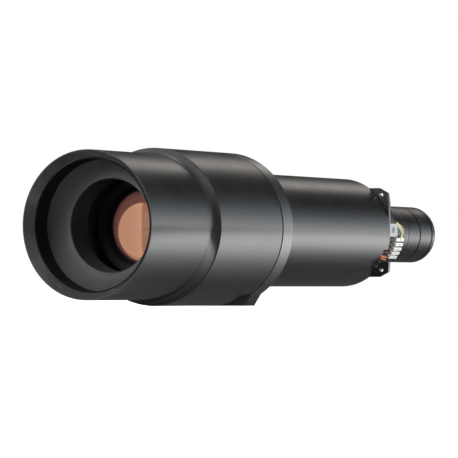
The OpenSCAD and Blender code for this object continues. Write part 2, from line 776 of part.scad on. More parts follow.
// Place of the screw's head on top of the clamp, with +Z pointing up
module at_clamp_screw()
    translate([clamp_in + clamp_t - screw_head_d / 2, clamp_high, clamp_rear + screw_head_d / 2 + overrun])
        rotate([-90, 0, 0]) children();

module clamp_screw() color("#0d0d0e") lens_axis() at_clamp_screw()
    cap_screw(screw_d, screw_head_d, screw_head_h, screw_len - overrun);

// Harness sleeve along the inside of the tube
sleeve_rear = 20;
sleeve_front_gap = 12;
sleeve_front = spigot_front - sleeve_front_gap;

module harness_sleeve() color("#17181a") lens_axis()
    rotate([0, 0, sleeve_angle]) translate([sleeve_r, 0, 0]) rod(sleeve_rear, sleeve_front, sleeve_d / 2);

// Place of a lead in the bundle at a station: seven in a ring, and the one named -1 in the middle
bundle_count = 7;
bundle_gap = 0.22;
bundle_r = (lead_d + bundle_gap) / 2 / sin(180 / bundle_count);
function bundle(k, z) = let (c = polar(sleeve_r, sleeve_angle), b = polar(bundle_r, 360 * k / bundle_count))
    k < 0 ? [c[0], c[1], z] : [c[0] + b[0], c[1] + b[1], z];
function into_sleeve(k) = [bundle(k, 14), bundle(k, sleeve_rear)];

// Points given by radius, angle and station
function around(points) = [for (p = points) concat(polar(p[0], p[1]), p[2])];

// Three leads that rise behind the clamp and come down on the upper side of the first header,
// as the route of the first and the step from each lead to the next
arc_route = [
    [38.2, -1, -58.6], [41, 2.2, -54], [42.4, 5.8, -48], [40.6, 10.2, -41.5],
    [37.4, 12.6, -35.6], [35, 11.6, -27.5], [34.9, 7, -18.5], [35.1, 0.5, -9.5], [38.4, -8.5, -3],
    [42.4, -16.5, 3.5], [43.4, -19.6, 9]
];
arc_step = [
    [-0.2, -0.3, 1.8], [-0.8, -1.5, 1.2], [-0.9, -1.5, 0.8], [-1.4, -1.1, 0],
    [-1.5, -0.6, -0.6], [-1.75, -0.2, 0], [-1.75, 0, 0], [-1.7, -0.3, 0.2], [-1.75, -0.2, 0.7],
    [-1.8, -0.6, 0.2], [-1.75, -0.4, 0]
];
arc_pitch = 1.9;
arc_inset = 1.5;
arc_stub = 1.6;
function off_header(j, h) = let (a = plug_angles[0], x = holder_r + plug_h / 2, y = plug_w / 2 + h)
    [x * cos(a) - y * sin(a), x * sin(a) + y * cos(a), header_rear + arc_inset + j * arc_pitch];

module arc_lead(j) lens_axis() lead(concat(
    [off_header(j, 0), off_header(j, arc_stub)],
    [for (i = [0 : len(arc_route) - 1]) arc_route[i] + j * arc_step[i]], into_sleeve(j + 1)
));

module yellow_lead() color("#d8cf62") arc_lead(0);
module white_lead() color("#e6e4dc") arc_lead(1);
module green_lead() color("#4f7d4c") arc_lead(2);

// Leads from the boots of the second to the fourth connector
sensor_routes = [
    [[36.6, -12.5, -22], [38.6, -15.5, -12], [40.6, -19, -2], [42, -21.6, 7]],
    [[34.4, -16.6, -22], [36.4, -18.6, -12], [38.4, -21, -2], [40.2, -23, 7]],
    [[32.8, -20.8, -22], [35.8, -22.6, -12], [38.8, -24.4, -2], [41.2, -25, 7]]
];
sensor_places = [-1, 4, 5];
boot_mid_r = holder_r + (plug_h - plug_gap) / 2;
lead_stub = 3;
function from_boot(r, i) =
    [for (z = [holder_front, holder_front + lead_stub]) concat(polar(r, plug_angles[i]), z)];

module sensor_leads() color("#6b4a3f") lens_axis() for (i = [0 : 2])
    lead(concat(from_boot(boot_mid_r, i + 1), sensor_routes[i], into_sleeve(sensor_places[i])));

// Pair of leads from the last boot, out through the notch in the tube's rim and back inside
orange_routes = [
    [
        [33, -26, -22], [38.5, -26.4, -13], [44.4, -26, -4], [49.2, -25.6, 2.5], [49.6, -25.3, 6],
        [46, -23.5, 10.2]
    ],
    [
        [31, -26.6, -22], [37, -28.4, -13], [43.2, -28.2, -4], [48.2, -27.8, 2.5], [48.6, -27.5, 6],
        [45, -25.6, 10.2]
    ]
];
orange_places = [0, 6];
pair_r = 0.95;

module orange_leads() color("#c9603c") lens_axis() for (i = [0, 1])
    lead(concat(
        from_boot(boot_mid_r + (i == 0 ? pair_r : -pair_r), plug_count - 1), orange_routes[i],
        into_sleeve(orange_places[i])
    ));

// Leads from the sleeve's front end to the motors, by radius, angle and station
focus_routes = [
    [
        [49.6, -25.6, 275], [53, -25.4, 281], [56, -25.2, 287], [57.6, -25, 293], [57.6, -24.4, 299],
        [56.6, -20, 303], [54.6, -10, 304], [54, 6, 304], [54, 22, 304], [54, 38, 304], [54, 54, 304],
        [54.6, 70, 303.8], [57, 81, 303.4]
    ],
    [
        [47.8, -26.1, 275], [51, -26, 281], [54, -26, 287], [55.6, -26.4, 293], [55.4, -26.6, 299],
        [54.2, -21, 303], [52.4, -10, 304], [52, 6, 304], [52, 22, 304], [52, 38, 304], [52, 54, 304],
        [52.6, 70, 303.8], [54.2, 81, 303.4]
    ]
];
zoom_routes = [
    [
        [48, -30, 275], [51.2, -30.2, 281], [54.2, -30.4, 287], [55.8, -30.8, 293], [55.6, -31.2, 299],
        [54.4, -33, 306], [53.2, -40, 314], [52.6, -52, 322], [52.2, -66, 328], [52.2, -82, 332.4],
        [52.2, -100, 333.6], [52.2, -118, 334], [52.8, -132, 334], [54.2, -141, 334]
    ],
    [
        [49.7, -30.2, 275], [53.1, -30.2, 281], [56.2, -30.2, 287], [57.8, -30.6, 293], [57.6, -31, 299],
        [56.4, -33, 306], [55.2, -40, 314], [54.6, -52, 322], [54.2, -66, 328], [54.2, -82, 332.4],
        [54.2, -100, 333.6], [54.2, -118, 334], [55, -132, 334], [57.2, -141, 334]
    ]
];
terminal_r = 1.8;
terminal_stub = 2;

// Ends of a lead on a motor's rear face, coming from behind it
function onto_motor(side, angle, z, stub) = around([
    [gear_centre_r + side * terminal_r, angle, z - stub], [gear_centre_r + side * terminal_r, angle, z]
]);
function out_of_sleeve(k) = [bundle(k, sleeve_front), bundle(k, sleeve_front + lead_stub)];

module focus_leads() color("#3b3c40") lens_axis() for (i = [0, 1]) lead(concat(
    out_of_sleeve(i + 1), around(focus_routes[i]),
    onto_motor(1 - 2 * i, focus_motor_angle, bulkhead_rear - motor_len, terminal_stub)
));

module zoom_leads() color("#3b3c40") lens_axis() for (i = [0, 1]) lead(concat(
    out_of_sleeve(i + 4), around(zoom_routes[i]),
    onto_motor(2 * i - 1, zoom_motor_angle, gear_plate_front + motor_len, -terminal_stub)
));

// Bulkhead that carries the focus guide, the guide barrel and the motors
boss_r = guide_flange_r;
boss_in_r = focus_r + 2 * free_gap;
post_r = 4;
post_ring_r = 57;
post_angles = [30, 150, 270];
pillar_r = 3.5;
pillar_ring_r = 60;
guide_screw_d = 2;
guide_head_d = 3.4;
guide_head_h = 1.6;
guide_screw_len = 6;
guide_screw_r = (boss_in_r + boss_r) / 2;
guide_screw_angles = [60, 120, 180, 240, 300, 360];

module bulkhead() color("#5a5b5e") lens_axis() difference() {
    union() {
        rod(bulkhead_rear, bulkhead_front, body_in_r - fit);
        rod(guide_front, bulkhead_front, boss_r);
    }
    rod(guide_front - overrun, bulkhead_front + overrun, boss_in_r);
    at_angles([focus_motor_angle], gear_centre_r)
        rod(bulkhead_rear - overrun, bulkhead_front + overrun, shaft_d / 2 + free_gap);
    at_angles(guide_screw_angles, guide_screw_r)
        rod(guide_front - overrun, guide_front + guide_screw_len, guide_screw_d / 2);
}

module bulkhead_ring() color("#2f3033") lens_axis() difference() {
    sleeve(bulkhead_front, bulkhead_front + skirt_ring_len, body_in_r - fit, body_in_r - body_step - fit);
    at_angles([0, 180], body_in_r - body_step - fit)
        rod(bulkhead_front + skirt_ring_len / 2, bulkhead_front + skirt_ring_len + overrun, fit + overrun);
}

module guide_posts() color("#8d8f93") lens_axis()
    at_angles(post_angles, post_ring_r) rod(bulkhead_front, focus_guide_rear, post_r);

module motor_pillars() color("#8d8f93") lens_axis()
    at_angles(post_angles, pillar_ring_r) rod(gear_plate_front, bulkhead_rear, pillar_r);

lead_hole_r = 4.6;
lead_hole_ring_r = 57;
module gear_plate() color("#5a5b5e") lens_axis() difference() {
    sleeve(gear_plate_rear, gear_plate_front, shoulder_r - fit, cam_r + overrun);
    at_angles([zoom_motor_angle], gear_centre_r)
        rod(gear_plate_rear - overrun, gear_plate_front + overrun, shaft_d / 2 + free_gap);
    at_angles([sleeve_angle], lead_hole_ring_r)
        rod(gear_plate_rear - overrun, gear_plate_front + overrun, lead_hole_r);
}

// Gear motor with its output face at zero, its shaft's bore in that face and its cap to the rear
gearbox_share = 0.4;
motor_step = 0.5;
motor_cap_r = 5;
motor_cap_t = 2;
shaft_depth = 6;

module gear_motor() difference() {
    turned([
        [0, 0], [motor_d / 2, 0], [motor_d / 2, -motor_len * gearbox_share],
        [motor_d / 2 - motor_step, -motor_len * gearbox_share],
        [motor_d / 2 - motor_step, motor_cap_t + motor_step - motor_len],
        [motor_d / 2 - 2 * motor_step, motor_cap_t - motor_len],
        [motor_cap_r, motor_cap_t - motor_len], [motor_cap_r, -motor_len], [0, -motor_len]
    ]);
    rod(-shaft_depth, overrun, shaft_d / 2 + fit);
}

module focus_motor() color("#b4b6ba") lens_axis()
    at_angles([focus_motor_angle], gear_centre_r) translate([0, 0, bulkhead_rear]) gear_motor();

module zoom_motor() color("#b4b6ba") lens_axis()
    at_angles([zoom_motor_angle], gear_centre_r)
        translate([0, 0, gear_plate_front]) rotate([180, 0, 0]) gear_motor();

// Pinion between two stations, with its shaft between two others
module pinion(motor_angle, z_low, z_high, shaft_low, shaft_high)
    at_angles([motor_angle], gear_centre_r) {
        translate([0, 0, z_low]) rotate([0, 0, 180 + 180 / pinion_teeth])
            linear_extrude(z_high - z_low) polygon(gear_points(pinion_teeth));
        rod(shaft_low, shaft_high, shaft_d / 2);
    }

module focus_pinion() color("#c4a95c") lens_axis() pinion(
    focus_motor_angle, focus_ring_rear, focus_ring_rear + gear_w,
    bulkhead_rear - shaft_depth + free_gap, focus_ring_rear + gear_w
);

module zoom_pinion() color("#c4a95c") lens_axis() pinion(
    zoom_motor_angle, zoom_ring_rear, zoom_ring_front,
    zoom_ring_rear, gear_plate_front + shaft_depth - free_gap
);

// Ring gear with a tooth facing its pinion, bored through
module ring_gear(z, motor_angle, bore) difference() {
    translate([0, 0, z]) rotate([0, 0, motor_angle])
        linear_extrude(gear_w) polygon(gear_points(ring_teeth));
    rod(z - overrun, z + gear_w + overrun, bore);
}

// Focus drive: pins in the ring run in slanting grooves of the barrel, and keys stop it turning
focus_pin_d = 4;
groove_floor = 1.6;
focus_pin_angles = [45, 165, 285];
focus_turn_forward = 60;
focus_turn_back = 30;
focus_turn_spare = 15;
focus_climb = focus_forward / focus_turn_forward;
focus_pin_z = focus_ring_rear + gear_w / 2;
focus_lip_r = 48;
lens_ring_len = 10;
front_edge_t = 8;
front_spacer_len = 10;
second_edge_t = 9;
front_rim = focus_front - lens_ring_len;
second_rim = front_rim - front_edge_t - front_spacer_len;
lens_shoulder = second_rim - second_edge_t;
shoulder_t = 4;
rear_bore_r = 40;
front_curve = 110;
front_back_curve = 90;
second_curve = 120;
key_w = 6;
key_len = 14;
key_proud = 3.5;
key_sunk = 1;
key_mid = focus_guide_rear + 26;
key_angles = [0, 120, 240];

module focus_ring() color("#8f9296") lens_axis() {
    ring_gear(focus_ring_rear, focus_motor_angle, focus_r + fit);
    sleeve(focus_ring_rear + gear_w, focus_ring_front, focus_lip_r, focus_r + fit);
    for (a = focus_pin_angles)
        radial_pin(a, focus_pin_z, focus_r + free_gap - groove_floor, focus_r + overrun, focus_pin_d);
}

module focus_barrel() color("#303134") lens_axis() difference() {
    turned([
        [rear_bore_r, focus_rear], [focus_r, focus_rear], [focus_r, focus_front],
        [front_lens_r + fit, focus_front], [front_lens_r + fit, lens_shoulder],
        [front_clear_r, lens_shoulder], [front_clear_r, lens_shoulder - shoulder_t],
        [rear_bore_r, lens_shoulder - shoulder_t]
    ]);
    for (a = focus_pin_angles) helical_slot(
        [a + focus_turn_forward + focus_turn_spare, focus_pin_z - focus_forward - focus_climb * focus_turn_spare],
        [a - focus_turn_back, focus_pin_z + focus_back],
        focus_r - groove_floor, focus_r + overrun, focus_pin_d + free_gap
    );
    at_angles(key_angles, focus_r - key_sunk)
        translate([0, -key_w / 2 - fit, key_mid - key_len / 2 - fit])
            cube([key_sunk + overrun, key_w + 2 * fit, key_len + 2 * fit]);
}

module focus_keys() color("#c4a95c") lens_axis() at_angles(key_angles, focus_r - key_sunk)
    translate([0, -key_w / 2, key_mid - key_len / 2]) cube([key_sunk + key_proud, key_w, key_len]);

module focus_guide() color("#3a3b3e") lens_axis() difference() {
    turned([
        [focus_r + fit, focus_guide_rear], [tube_flange_r, focus_guide_rear],
        [tube_flange_r, focus_guide_rear + focus_guide_flange_t],
        [focus_r + fit + focus_guide_wall, focus_guide_rear + focus_guide_flange_t],
        [focus_r + fit + focus_guide_wall, focus_guide_front], [focus_r + fit, focus_guide_front]
    ]);
    at_angles(key_angles, focus_r - overrun)
        translate([0, -key_w / 2 - free_gap / 2, key_mid - key_len / 2 - focus_back - free_gap])
            cube([
                focus_guide_wall + 2 * overrun, key_w + free_gap,
                key_len + focus_back + focus_forward + 2 * free_gap
            ]);
}

module front_lens_ring() color("#232426") lens_axis() difference() {
    turned([
        [front_clear_r, front_rim], [front_lens_r, front_rim], [front_lens_r, focus_front],
        [front_lens_r - overrun, focus_front]
    ]);
    at_angles(notch_spin, front_lens_r - notch_w / 2)
        translate([0, -notch_w / 4, focus_front - notch_w / 4]) cube([notch_w, notch_w / 2, notch_w]);
}

// Glass in the focus barrel, clear within the retaining ring
module front_element(z, edge_t, front, back) color("#c98a63") lens_axis()
    element(z, front_lens_r, front_clear_r, edge_t, front, back);

module front_lens() front_element(front_rim, front_edge_t, front_curve, -front_back_curve);
module second_lens() front_element(second_rim, second_edge_t, second_curve, second_curve);

module front_spacer() color("#2f3033") lens_axis()
    sleeve(second_rim, front_rim - front_edge_t, front_lens_r, front_clear_r);

// Zoom drive: rollers on the carriages cross the guide barrel's straight slots
// and run in the cam barrel's slanting ones
roller_angles = [0, 120, 240];
slot_w = roller_d + free_gap;
roller_low_r = guide_in_r - fit;
roller_high_r = cam_r - free_gap;
variator_gap = 49.7;
compensator_gap = 15.3;
variator_mid = cam_front - variator_gap - carriage_len / 2;
compensator_mid = cam_rear + compensator_gap + carriage_len / 2;
retainer_t = 4.4;
guide_rear = rear_bulkhead_front;

module guide_barrel() color("#6b6d70") lens_axis() difference() {
    turned([
        [guide_in_r, guide_rear], [guide_r, guide_rear], [guide_r, guide_front - guide_flange_t],
        [guide_flange_r, guide_front - guide_flange_t], [guide_flange_r, guide_front],
        [guide_in_r, guide_front]
    ]);
    for (a = roller_angles) {
        straight_slot(a, variator_mid - variator_travel, variator_mid,
            guide_in_r - overrun, guide_r + overrun, slot_w);
        straight_slot(a, compensator_mid, compensator_mid + compensator_travel,
            guide_in_r - overrun, guide_r + overrun, slot_w);
    }
    at_angles(guide_screw_angles, guide_screw_r)
        rod(guide_front - guide_flange_t - overrun, guide_front + overrun, guide_screw_d / 2 + fit);
}

module guide_screws() color("#3a3b3d") lens_axis() at_angles(guide_screw_angles, guide_screw_r)
    translate([0, 0, guide_front - guide_flange_t]) rotate([180, 0, 0])
        cap_screw(guide_screw_d, guide_head_d, guide_head_h, guide_flange_t + guide_screw_len - overrun);

module cam_barrel() color("#86888c") lens_axis() difference() {
    sleeve(cam_rear, cam_front, cam_r, cam_in_r);
    for (a = roller_angles) {
        helical_slot([a, variator_mid], [a + cam_turn, variator_mid - variator_travel],
            cam_in_r - overrun, cam_r + overrun, slot_w);
        helical_slot([a, compensator_mid], [a + cam_turn, compensator_mid + compensator_travel],
            cam_in_r - overrun, cam_r + overrun, slot_w);
    }
}

module zoom_ring() color("#8f9296") lens_axis() ring_gear(zoom_ring_rear, zoom_motor_angle, cam_r + fit);

module cam_retainer() color("#2f3033") lens_axis()
    sleeve(cam_rear - free_gap - retainer_t, cam_rear - free_gap, cam_r, guide_r + fit);

// Carriage whose middle lies at z, with its lens against a lip at the rear
lip_t = 6;
lens_lip = 2;
moving_edge_t = 9;
ring_room = 4;
relief_t = 1.6;
band_len = 6;
variator_curve = 55;
compensator_curve = 95;

module carriage(z) color("#4c4d50") lens_axis() difference() {
    turned([
        [moving_lens_r - lens_lip, z - carriage_len / 2], [guide_in_r - fit, z - carriage_len / 2],
        [guide_in_r - fit, z - roller_d], [guide_in_r - fit, z + roller_d],
        [guide_in_r - fit, z + carriage_len / 2], [moving_lens_r + fit, z + carriage_len / 2],
        [moving_lens_r + fit, z + lip_t - carriage_len / 2], [moving_lens_r - lens_lip, z + lip_t - carriage_len / 2]
    ]);
    for (side = [-1, 1]) translate([0, 0, z + side * (carriage_len / 2 - band_len) - (side > 0 ? roller_d / 2 : 0)])
        sleeve(0, roller_d / 2, guide_in_r + overrun, guide_in_r - relief_t);
    for (a = roller_angles) radial_pin(a, z, roller_low_r - relief_t, roller_low_r + overrun, roller_d / 2);
}

module rollers(z) color("#c4a95c") lens_axis() for (a = roller_angles) {
    radial_pin(a, z, roller_low_r, roller_high_r, roller_d);
    radial_pin(a, z, roller_low_r - relief_t, roller_high_r - overrun, roller_d / 2);
}

module moving_element(z, front, back) color("#b9c4c8") lens_axis()
    element(z - carriage_len / 2 + lip_t + moving_edge_t, moving_lens_r, moving_lens_r - lens_lip,
        moving_edge_t, front, back);

module variator_carriage() carriage(variator_mid);
module variator_rollers() rollers(variator_mid);
module variator_lens() moving_element(variator_mid, -variator_curve * 2, -variator_curve * 2);

module compensator_carriage() carriage(compensator_mid);
module compensator_rollers() rollers(compensator_mid);
module compensator_lens() moving_element(compensator_mid, compensator_curve, compensator_curve);

front_hood();
front_baffle();
baffle_ring();
body_shell();
mount_ring();
ring_screws();
main_tube();
tube_screws();
mount_flange();
flange_screws();
rear_bulkhead();
rear_barrel();
barrel_screws();
end_ring();
rear_lens();
relay_spacer();
relay_lens_back();
relay_lens_front();
connector_holder();
header_row();
plug_row();
plug_boots();
cable_clamp();
clamp_screw();
yellow_lead();
white_lead();
green_lead();
orange_leads();
sensor_leads();
harness_sleeve();
focus_leads();
zoom_leads();
focus_guide();
guide_posts();
bulkhead();
bulkhead_ring();
motor_pillars();
gear_plate();
focus_motor();
zoom_motor();
focus_ring();
focus_pinion();
zoom_pinion();
focus_barrel();
focus_keys();
front_lens_ring();
front_lens();
front_spacer();
second_lens();
guide_barrel();
guide_screws();
cam_barrel();
zoom_ring();
cam_retainer();
variator_carriage();
variator_rollers();
variator_lens();
compensator_carriage();
compensator_rollers();
compensator_lens();
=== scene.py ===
"""Looks of a long throw projection lens, in metres.

The lens looks towards -Y, its rear barrel points towards +Y and +Z is up. Turned pieces are written
as outlines of (radius, station), in millimetres, where a station is the distance in front of the
mounting flange. Angles go from +X towards +Z, in degrees.
"""

import math

import bmesh
import bpy
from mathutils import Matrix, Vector

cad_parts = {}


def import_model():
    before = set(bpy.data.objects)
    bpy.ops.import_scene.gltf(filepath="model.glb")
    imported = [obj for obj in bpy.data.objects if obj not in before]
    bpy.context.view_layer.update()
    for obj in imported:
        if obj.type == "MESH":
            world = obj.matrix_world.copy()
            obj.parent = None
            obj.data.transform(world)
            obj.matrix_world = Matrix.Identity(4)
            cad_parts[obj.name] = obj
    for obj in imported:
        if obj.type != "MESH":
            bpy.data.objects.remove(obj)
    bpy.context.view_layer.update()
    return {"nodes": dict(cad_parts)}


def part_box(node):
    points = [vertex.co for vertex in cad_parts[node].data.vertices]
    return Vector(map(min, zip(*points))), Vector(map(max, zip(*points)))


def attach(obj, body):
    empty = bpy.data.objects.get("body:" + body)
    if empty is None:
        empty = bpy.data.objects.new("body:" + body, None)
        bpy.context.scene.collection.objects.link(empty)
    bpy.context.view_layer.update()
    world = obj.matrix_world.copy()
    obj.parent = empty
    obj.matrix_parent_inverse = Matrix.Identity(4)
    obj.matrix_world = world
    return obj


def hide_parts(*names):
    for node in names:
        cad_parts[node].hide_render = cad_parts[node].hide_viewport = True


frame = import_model()

MM = 0.001
WELD = 1e-6
SPIN_STEPS = 240
HOLE_STEPS = 40
SOFT_ANGLE = math.radians(25)
SMOOTH_ANGLE = math.radians(36)
OVERRUN = 1.0
# The tube's radius to that of its own flange, which its box gives
TUBE_PART = 55
TUBE_FLANGE_PART = 62


def high(node, axis):
    """Highest coordinate of a CAD node along an axis, in millimetres."""
    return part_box(node)[1][axis] / MM


def low(node, axis):
    """Lowest coordinate of a CAD node along an axis, in millimetres."""
    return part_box(node)[0][axis] / MM


# Sizes read from the frame, in millimetres
TUBE_R = high("main_tube", 2) * TUBE_PART / TUBE_FLANGE_PART
TUBE_FRONT = -low("main_tube", 1)
TUBE_REAR = -high("main_tube", 1)
BODY_R = high("body_shell", 2)
BODY_FRONT = -low("body_shell", 1)
BODY_REAR = -high("body_shell", 1)
RING_REAR = -high("mount_ring", 1)
RING_SPIGOT = -low("mount_ring", 1)
FOOT_BASE = low("mount_ring", 2)
HOOD_FRONT = -low("front_hood", 1)
HOOD_REAR = -high("front_hood", 1)
BAFFLE_SEAT = -low("front_baffle", 1)
BAFFLE_R = high("front_baffle", 2)
FLANGE_T = -low("mount_flange", 1)
FLANGE_W = high("mount_flange", 0)
FLANGE_H = high("mount_flange", 2)
COLLAR_REAR = -high("mount_flange", 1)
BARREL_FRONT = -low("rear_barrel", 1)
BARREL_END = -high("rear_barrel", 1)
LENS_END = -high("end_ring", 1)
RELAY_SEAT = -low("end_ring", 1)

# Sizes that the frame's boxes don't hold, in millimetres
HOOD_R = 67.5
BORE_R = 60.0
LIP_W = 6.2
LIP_DEPTH = 9.4
RIM_LAND = 0.7
LINING_T = 0.3
FLARE_LEN = 10.0
FLARE_FRONT = BODY_FRONT + FLARE_LEN
EDGE_BEVEL = 0.5
BODY_IN_R = 69.0
SEAM_W = 1.8
SEAM_DEPTH = 1.6
SHOULDER_R = 67.0
BULKHEAD_REAR = BODY_REAR + 70.2
THROAT_R = 43.2
THROAT_END_R = 41.85
FUNNEL_LEN = 12.5
THROAT_LEN = 28.4
FUNNEL_STEPS = 24
FUNNEL_POWER = 0.9
BAFFLE_WALL = 2.2
SKIRT_LEN = 20.0
TUBE_FLANGE_R = 62.0
TUBE_FLANGE_T = 4.0
TUBE_IN_R = 51.0
TUBE_LIP_R = 44.0
WINDOW_X = 33.2
WINDOW_Z = (-30.0, 9.0)
NOTCH_ANGLES = (-34.0, -19.0)
NOTCH_DEPTH = 9.0
BARREL_FLANGE_R = 38.0
BARREL_FLANGE_T = 4
BARREL_R = 30.6
BARREL_REAR_R = 29.4
GROOVE_W = 2.4
GROOVE_DEPTH = 1.4
GROOVES = (-90.0, -118.0)
TAPER_LEN = 22.0
RELAY_R = 25.0
RELAY_STEP = 2
RELAY_SHOULDER = -91.0
END_OPEN_R = 23.0
END_ROUND = 2.0
END_CHAMFER = 0.6
NOTCH_W = 4.0
NOTCH_SPIN = (6.0, 186.0)
FIT = 0.1

# Widths of the rounding of edges, in millimetres
HOOD_EDGE = 0.25
BAFFLE_EDGE = 0.4
TUBE_EDGE = 0.3
FLANGE_EDGE = 0.45
BARREL_EDGE = 0.18
END_EDGE = 0.3
SCREW_EDGE = 0.18
RETAINER_EDGE = 0.15
PLUG_EDGE = 0.16
LATCH_EDGE = 0.12
BOOT_EDGE = 0.22
HOLDER_EDGE = 0.3
CLAMP_EDGE = 0.4
CLAMP_SCREW_EDGE = 0.2


def point(radius, angle, station):
    """Place at a radius, an angle and a station."""
    a = math.radians(angle)
    return Vector((radius * math.cos(a), -station, radius * math.sin(a))) * MM


def only(piece):
    """Selects one object alone."""
    bpy.ops.object.select_all(action="DESELECT")
    piece.select_set(True)
    bpy.context.view_layer.objects.active = piece
    return piece


def named(name):
    """Names the object that was added last, with its place kept in its mesh."""
    piece = bpy.context.object
    bpy.ops.object.transform_apply(location=True, rotation=True, scale=True)
    piece.name = piece.data.name = name
    return piece


def edit(piece):
    """Opens a piece in edit mode, with all of it selected."""
    only(piece)
    bpy.ops.object.mode_set(mode="EDIT")
    bpy.ops.mesh.select_all(action="SELECT")


def leave_edit():
    bpy.ops.object.mode_set(mode="OBJECT")


def close_up():
    """Welds the points that lie on each other and turns the faces outwards, in edit mode."""
    bpy.ops.mesh.select_all(action="SELECT")
    bpy.ops.mesh.remove_doubles(threshold=WELD)
    bpy.ops.mesh.normals_make_consistent(inside=False)


def apply(piece, kind, **values):
    """Adds a modifier with its values and applies it."""
    only(piece)
    step = piece.modifiers.new(kind.lower(), kind)
    for key, value in values.items():
        setattr(step, key, value)
    bpy.ops.object.modifier_apply(modifier=step.name)
    return piece


def soften(piece, width, segments=2):
    """Rounds the sharp edges a little and shades the rest smoothly."""
    apply(piece, "BEVEL", width=width * MM, segments=segments, limit_method="ANGLE",
          angle_limit=SOFT_ANGLE)
    return shade(piece)


def shade(piece):
    """Shades a piece smoothly between its sharp edges."""
    only(piece)
    bpy.ops.object.shade_smooth_by_angle(angle=SMOOTH_ANGLE)
    return apply(piece, "WEIGHTED_NORMAL", keep_sharp=True)


def turned(name, outline, closed=True):
    """A piece turned round the optical axis from (radius, station) points."""
    places = [point(radius, 0, station) for radius, station in outline]
    bpy.ops.object.select_all(action="DESELECT")
    bpy.ops.mesh.primitive_plane_add(size=MM)
    piece = named(name)
    edit(piece)
    bpy.ops.mesh.merge(type="CENTER")
    bpy.ops.transform.translate(value=places[0])
    for here, there in zip(places, places[1:] + places[: 1 if closed else 0]):
        bpy.ops.mesh.extrude_region_move(TRANSFORM_OT_translate={"value": there - here})
    bpy.ops.mesh.select_all(action="SELECT")
    bpy.ops.mesh.remove_doubles(threshold=WELD)
    bpy.ops.mesh.select_all(action="SELECT")
    bpy.ops.mesh.spin(steps=SPIN_STEPS, angle=2 * math.pi, center=(0, 0, 0), axis=(0, 1, 0))
    close_up()
    leave_edit()
    return piece


def pin(name, middle, radius, length, steps=HOLE_STEPS, turn=(0, 0, 0)):
    """An upright cylinder about its middle, which may be turned."""
    bpy.ops.object.select_all(action="DESELECT")
    bpy.ops.mesh.primitive_cylinder_add(
        vertices=steps, radius=radius * MM, depth=length * MM, location=middle, rotation=turn)
    return named(name)


def rod(name, place, rear, front, radius, steps=HOLE_STEPS):
    """A cylinder along the axis at (radius, angle), between two stations."""
    middle = point(place[0], place[1], (rear + front) / 2)
    return pin(name, middle, radius, front - rear, steps, (math.pi / 2, 0, 0))


def block(name, x, station, z):
    """A block between two values of x, two stations and two heights."""
    middle = Vector((sum(x) / 2, -sum(station) / 2, sum(z) / 2)) * MM
    size = Vector((x[1] - x[0], station[1] - station[0], z[1] - z[0])) * MM
    bpy.ops.object.select_all(action="DESELECT")
    bpy.ops.mesh.primitive_cube_add(size=1, location=middle, scale=size)
    return named(name)


def plate(name, outline, rear, front):
    """A plate across the axis from (x, height) points, between two stations."""
    bpy.ops.object.select_all(action="DESELECT")
    bpy.ops.mesh.primitive_circle_add(vertices=len(outline), radius=MM, fill_type="NGON")
    piece = named(name)
    edit(piece)
    mesh = bmesh.from_edit_mesh(piece.data)
    for corner, (x, z) in zip(mesh.verts, outline):
        corner.co = Vector((x, -rear, z)) * MM
    bmesh.update_edit_mesh(piece.data)
    bpy.ops.mesh.extrude_region_move(TRANSFORM_OT_translate={"value": (0, (rear - front) * MM, 0)})
    close_up()
    leave_edit()
    return piece


def boolean(piece, tool, operation="DIFFERENCE"):
    """Cuts, joins or clips a piece with a tool, which is then gone."""
    apply(piece, "BOOLEAN", object=tool, operation=operation, solver="EXACT")
    bpy.data.objects.remove(tool)
    return piece


def joined(name, pieces):
    """Joins pieces into one object."""
    bpy.ops.object.select_all(action="DESELECT")
    for piece in pieces:
        piece.select_set(True)
    bpy.context.view_layer.objects.active = pieces[0]
    bpy.ops.object.join()
    pieces[0].name = pieces[0].data.name = name
    return pieces[0]


def turned_copy(piece, angle):
    """A copy of a piece, with its own mesh, turned round the optical axis."""
    copy = bpy.data.objects.new(piece.name, piece.data.copy())
    bpy.context.scene.collection.objects.link(copy)
    copy.rotation_euler = (0, -math.radians(angle), 0)
    only(copy)
    bpy.ops.object.transform_apply(location=False, rotation=True, scale=False)
    return copy


def ring_of(name, piece, angles):
    """Copies of a piece made at angle zero, at each angle, joined into one object."""
    copies = [turned_copy(piece, angle) for angle in angles]
    bpy.data.objects.remove(piece)
    return joined(name, copies)


# Materials

SCRATCH_LEVEL = 0.735
RUBBED_LEVEL = 0.52
MASK_RANGE = (0.3, 0.7)
# Strength of the painted reflection on the front glass, and how far its bright disc sits below the axis
PAINTED_REFLECTION_STRENGTH = 0.85
PAINTED_REFLECTION_DROP = 5


def group_socket(group, name, kind, direction, value=None):
    socket = group.interface.new_socket(name=name, in_out=direction, socket_type=kind)
    if value is not None:
        socket.default_value = value


def new_group(name, inputs, outputs):
    """A shader node group whose inputs have values and whose outputs are numbers."""
    group = bpy.data.node_groups.new(name, "ShaderNodeTree")
    group_socket(group, "Place", "NodeSocketVector", "INPUT")
    for label, value in inputs.items():
        group_socket(group, label, "NodeSocketFloat", "INPUT", value)
    for label in outputs:
        group_socket(group, label, "NodeSocketFloat", "OUTPUT")
    return group, group.nodes.new("NodeGroupInput"), group.nodes.new("NodeGroupOutput")


def feed(tree, socket, value):
    """Links a socket to an output, or sets it to a number or a colour."""
    if isinstance(value, bpy.types.NodeSocket):
        tree.links.new(value, socket)
    elif value is not None:
        socket.default_value = (*value, 1.0) if isinstance(value, tuple) else value


def math_node(tree, operation, first, second=None):
    node = tree.nodes.new("ShaderNodeMath")
    node.operation = operation
    feed(tree, node.inputs[0], first)
    feed(tree, node.inputs[1], second)
    return node.outputs[0]


